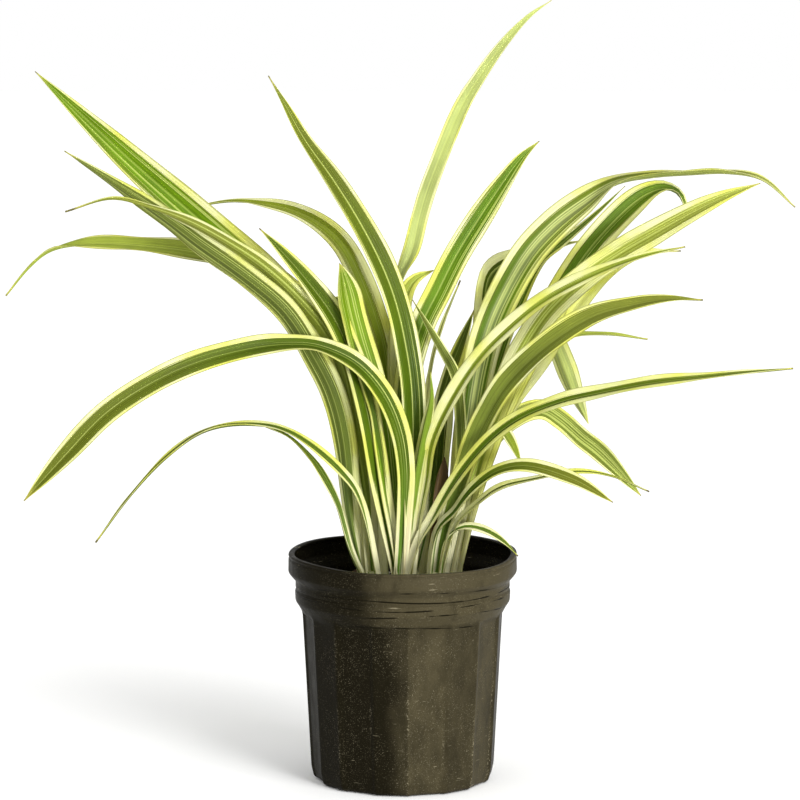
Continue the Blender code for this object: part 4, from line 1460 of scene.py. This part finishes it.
        # It waves up and down, and its back stands higher
        waves = []
        for turns in self.rim_waves:
            wave = node("MULTIPLY_ADD", (angle, *turns))
            waves.append(node("SINE", (wave,)))
        lift = node("MULTIPLY_ADD", (waves[1], 0.5, waves[0]))
        lift = node("MULTIPLY", (lift, given["Rim wave"]))
        backness = node("DIVIDE", (y, self.lip_radius))
        lift = node("MULTIPLY_ADD", (backness, given["Rim tilt"], lift))
        lift = node("MULTIPLY", (lift, at_lip))
        move = node(VECTOR, (move, node(JOIN, {"Z": lift})), operation="ADD")
        made = given["Blank"]
        for kind, values in (
            ("SetPosition", {"Offset": move}), ("SetShadeSmooth", {"Shade Smooth": True}),
            ("RealizeInstances", {}), ("SetMaterial", {"Material": given["Plastic"]}),
        ):
            made = node("GeometryNode" + kind, {"Geometry": made, **values})
        node("NodeGroupOutput", (made,))
        return tree

    def drills(self) -> Piece:
        """Makes the ring of drills that cut the drain holes.

        Returns:
            The drills as one mesh object.
        """
        form = bmesh.new()
        circle = self.sole_radius + 0.5 * self.channel_width
        for number in range(self.drain_count):
            angle = math.tau * (number + 0.5) / self.drain_count + FLUTE_PHASE
            place = (circle * math.cos(angle), circle * math.sin(angle), self.drill_middle)
            bmesh.ops.create_cone(
                form, cap_ends=True, segments=self.drain_sides, radius1=self.drain_radius,
                radius2=self.drain_radius, depth=self.drill_length, matrix=Matrix.Translation(place),
            )
        mesh = bpy.data.meshes.new("drain_drills")
        form.to_mesh(mesh)
        form.free()
        return link_new("drain_drills", mesh)

    def make(self, plastic: Material) -> Piece:
        """Turns the blank, presses the flutes, gives it a wall and drills the drain holes.

        Args:
            plastic: the pot's material.

        Returns:
            The finished pot.
        """
        blank = turned("pot_blank", self.rounded(self.outline()), self.steps)
        run_tree(blank, self.press_tree(), {
            "Pairs": float(FLUTE_PAIRS), "Depth": self.flute_depth, "Flatness": self.flatness,
            "Phase": FLUTE_PHASE, "Edge": self.flute_edge, "Rim wave": self.rim_wave,
            "Rim dent": self.rim_dent, "Rim tilt": self.rim_tilt, "Plastic": plastic,
        })
        wall = blank.modifiers.new("wall", "SOLIDIFY")
        wall.thickness = self.wall
        wall.offset = -1
        shell = baked(blank, "pot_shell")
        drills = self.drills()
        cut = shell.modifiers.new("drains", "BOOLEAN")
        cut.operation = "DIFFERENCE"
        cut.object = drills
        cut.solver = "MANIFOLD"
        made = baked(shell, "fluted_pot")
        bpy.data.objects.remove(drills)
        made.data.materials.clear()
        made.data.materials.append(plastic)
        for face in made.data.polygons:
            face.material_index = 0
        return made


@dataclass
class PottingMix:
    """The potting mix: a lumpy bed of peat with loose bark, perlite and fibres on its top.

    The side is the radius and the height of each corner of the bed, from its rim down to its
    foot on the axis. It follows the inside of the pot, round the drain channel.
    """

    rim: float = 74.4 * MM
    side: tuple[tuple[float, float], ...] = (
        (72.8 * MM, 132 * MM), (68.5 * MM, 126 * MM), (67 * MM, 118 * MM), (61 * MM, 10 * MM),
        (60 * MM, 5.2 * MM), (51.4 * MM, 5.2 * MM), (50.2 * MM, 2.1 * MM), (0, 2.1 * MM),
    )
    crumb_clearance: float = 3 * MM
    steepest: float = 0.4
    lump: float = 13 * MM
    lump_height: float = 2.4 * MM
    grain: float = 3.2 * MM
    grain_height: float = 1.0 * MM
    edge_width: float = 6 * MM
    edge_drop: float = 1.5 * MM
    ring: float = 1.4 * MM
    steps: int = 168

    def bed(self, peat: Material) -> Piece:
        """Makes the bed: its outline turned about the axis, with lumps on its top.

        Args:
            peat: the material.

        Returns:
            The bed's mesh object.
        """
        count = round(self.rim / self.ring)
        outline = [(self.rim * i / count, 0, MIX_TOP) for i in range(count + 1)]
        outline += [(radius, 0, height) for radius, height in self.side]
        made = baked(turned("bed_outline", outline, self.steps), "peat_bed")
        for vert in made.data.vertices:
            if vert.co.z > MIX_TOP - 1 * MM:
                inner = 1 - smoothstep(self.rim - self.edge_width, self.rim, vert.co.xy.length)
                lumps = self.lump_height * noise.noise(vert.co / self.lump)
                grains = self.grain_height * noise.noise(vert.co / self.grain + Vector((7, 0, 0)))
                vert.co.z += (lumps + grains) * inner - self.edge_drop * (1 - inner)
        face_outwards(made.data)
        made.data.materials.append(peat)
        return made

    def scatter_tree(self) -> bpy.types.NodeTree:
        """Builds the tree that strews crumbs over the top of the bed.

        Returns:
            The node tree, with the crumbs' sizes, number and material as inputs.
        """
        sizes = ("Density", "Smallest", "Largest", "Lift", "Roughness")
        tree, given, node = new_tree("strewn_crumbs", {
            "Bed": "Geometry", **dict.fromkeys(sizes, "Float"), "Form": "Vector", "Seed": "Int",
            "Crumb": "Material",
        }, "Crumbs")
        spot = node("GeometryNodeInputPosition")
        height = node(SPLIT, (spot,), "Z")
        upward = node(SPLIT, (node("GeometryNodeInputNormal"),), "Z")
        flat = node(VECTOR, (spot, (1, 1, 0)), operation="MULTIPLY")
        radius = node(VECTOR, (flat,), "Value", operation="LENGTH")
        chosen = node("GREATER_THAN", (height, MIX_TOP - 6 * MM))
        for limit in (
            node("GREATER_THAN", (upward, self.steepest)),
            node("LESS_THAN", (radius, self.rim - self.crumb_clearance)),
        ):
            chosen = node("MULTIPLY", (chosen, limit))
        seed = {"Seed": given["Seed"]}
        points = node("GeometryNodeDistributePointsOnFaces", {
            "Mesh": given["Bed"], "Selection": chosen, "Density": given["Density"], **seed,
        })

        # One rough lump, stretched to the crumb's form
        lump = node("GeometryNodeMeshIcoSphere", {"Radius": 1.0, "Subdivisions": 2})
        bumps = node(NOISE, {"Vector": spot, "Scale": 1.3, "Detail": 2.0}, "Color")
        bumps = node(VECTOR, (bumps, (0.5, 0.5, 0.5)), operation="SUBTRACT")
        bumps = node(VECTOR, {0: bumps, "Scale": given["Roughness"]}, operation="SCALE")
        lump = node("GeometryNodeSetPosition", {"Geometry": lump, "Offset": bumps})
        lump = node("GeometryNodeTransform", {"Geometry": lump, "Scale": given["Form"]})
        spin = node(
            "FunctionNodeRandomValue", {0: (-0.5, -0.5, 0.0), 1: (0.5, 0.5, math.tau), **seed},
            data_type="FLOAT_VECTOR",
        )
        size = node(
            "FunctionNodeRandomValue", {2: given["Smallest"], 3: given["Largest"], **seed}, 1,
            data_type="FLOAT",
        )
        made = node("GeometryNodeInstanceOnPoints", {
            "Points": points, "Instance": lump, "Rotation": spin, "Scale": size,
        })
        rise = node(JOIN, {"Z": given["Lift"]})
        made = node("GeometryNodeTranslateInstances", {
            "Instances": made, "Translation": rise, "Local Space": False,
        })
        made = node("GeometryNodeRealizeInstances", {"Geometry": made})
        made = node("GeometryNodeSetMaterial", {"Geometry": made, "Material": given["Crumb"]})
        node("NodeGroupOutput", (made,))
        return tree

    def make(self) -> list[Piece]:
        """Makes the bed and everything that lies on it.

        Returns:
            The bed first, and then the crumbs.
        """
        peat = Crumb("composted_peat", "#17120d", "#33281c", 1.6 * MM).material()
        bark = Crumb("composted_bark", "#2a1d12", "#5a4029", 1.2 * MM, 0.9).material()
        perlite = Crumb("expanded_perlite", "#c9c4b6", "#ece8dc", 0.5 * MM).material()
        fibre = Crumb("coir_fibre", "#4b3823", "#8a6b45", 0.8 * MM, 0.85).material()
        pieces = [self.bed(peat)]
        tree = self.scatter_tree()
        labels = ("Crumb", "Density", "Smallest", "Largest", "Lift", "Form", "Roughness", "Seed")
        for name, *values in (
            ("peat_crumbs", peat, 42000.0, 0.7 * MM, 1.9 * MM, 0.1 * MM, (1.0, 0.85, 0.7), 0.9, 3),
            ("bark_chips", bark, 9000.0, 1.6 * MM, 4.6 * MM, 0.3 * MM, (1.0, 0.55, 0.28), 0.8, 5),
            ("perlite_grains", perlite, 2600.0, 0.6 * MM, 1.5 * MM, 0.4 * MM, (1.0, 0.9, 0.85), 0.7, 8),
            ("coir_fibres", fibre, 2600.0, 3.0 * MM, 7.0 * MM, 0.7 * MM, (1.0, 0.06, 0.06), 0.5, 11),
        ):
            ground = link_new(name + "_ground", pieces[0].data.copy())
            run_tree(ground, tree, dict(zip(labels, values)))
            pieces.append(baked(ground, name))
        return pieces


@dataclass(frozen=True)
class Studio:
    """A white floor under soft light, and the camera that the photograph was taken with."""

    floor_size: float = 40.0
    floor_colour: str = "#fdfdfc"
    air: float = 0.84
    sun_power: float = 1.6
    sun_from: tuple[float, float, float] = (0.75, -1.0, 1.25)
    sun_spread: float = math.radians(28)
    box_power: float = 44.0
    box_place: tuple[float, float, float] = (1.05, -1.75, 0.2)
    box_width: float = 0.5
    box_height: float = 0.36
    lit_height: float = 200 * MM

    def place(self, lamp: bpy.types.Light, spot: tuple[float, float, float]) -> None:
        """Puts a lamp in the scene so that it faces the plant.

        Args:
            lamp: the lamp.
            spot: where it stands, in metres.
        """
        piece = link_new(lamp.name, lamp)
        piece.location = spot
        to_plant = Vector((0, 0, self.lit_height)) - piece.location
        piece.rotation_euler = to_plant.to_track_quat("-Z", "Y").to_euler()

    def lamps(self) -> None:
        """Hangs the wide key light, and stands a low softbox right of the camera for the pot's sheen."""
        key = bpy.data.lights.new("overhead_key", "SUN")
        key.energy = self.sun_power
        key.angle = self.sun_spread
        self.place(key, self.sun_from)
        box = bpy.data.lights.new("low_softbox", "AREA")
        box.shape = "RECTANGLE"
        box.size = self.box_width
        box.size_y = self.box_height
        box.energy = self.box_power
        self.place(box, self.box_place)

    def air_light(self) -> None:
        """Makes the air white to the camera, and a softer fill light for what stands in it."""
        world = bpy.data.worlds.new("white_air")
        world.use_nodes = True
        world.node_tree.nodes.clear()
        node = partial(add_node, world.node_tree)
        seen = node("ShaderNodeLightPath", output="Is Camera Ray")
        strength = node(MIX, {0: seen, 2: self.air, 3: 1.0})
        sky = node("ShaderNodeBackground", {"Color": (1, 1, 1, 1), "Strength": strength})
        node("ShaderNodeOutputWorld", (sky,))
        bpy.context.scene.world = world

    def camera(self) -> None:
        """Sets the camera where the photograph was taken from."""
        data = bpy.data.cameras.new("photo_view")
        eye = Vector((VIEW_AIM.x, -VIEW_DISTANCE, VIEW_HEIGHT))
        aim = VIEW_AIM - eye
        data.sensor_width = SENSOR_MM
        data.lens = SENSOR_MM * aim.length / PHOTO_WIDTH
        view = link_new("photo_view", data)
        view.location = eye
        view.rotation_euler = aim.to_track_quat("-Z", "Y").to_euler()
        bpy.context.scene.camera = view

    def build(self) -> None:
        """Lays the floor, lights it and sets the camera."""
        half = 0.5 * self.floor_size
        mesh = bpy.data.meshes.new("studio_floor")
        corners = [(-half, -half, 0), (half, -half, 0), (half, half, 0), (-half, half, 0)]
        mesh.from_pydata(corners, [], [(0, 1, 2, 3)])

        # Matt paper, which takes a soft shadow and has no shine
        paper, node = new_material("white_paper")
        face = {"Base Color": colour(self.floor_colour), "Roughness": 1.0, "Specular IOR Level": 0.0}
        node("ShaderNodeOutputMaterial", (node("ShaderNodeBsdfPrincipled", face),))
        mesh.materials.append(paper)
        link_new("studio_floor", mesh)
        self.lamps()
        self.air_light()
        bpy.context.scene.view_settings.view_transform = "Standard"
        self.camera()


def main() -> None:
    """Builds every sub-assembly in order."""
    logging.basicConfig(level=logging.INFO, format="%(message)s")
    skin = LeafSkin()
    skins = (skin.material(under=False), skin.material(under=True))
    maker = BladeMaker()
    bundle = SheathBundle()
    for number, fan in enumerate(FANS):
        blades = maker.make(fan.name + "_blades", fan.leaves, skins, seed=BLADE_SEED + number)
        set_in(blades, fan.name)
        sheaths = bundle.make(fan, skins[1], seed=SHEATH_SEED + number)
        set_in(sheaths, fan.name)
    pot = NurseryPot().make(PotPlastic().material())
    set_in(pot, "nursery_pot")
    for piece in PottingMix().make():
        set_in(piece, "potting_mix")
    Studio().build()


if __name__ == "__main__":
    main()
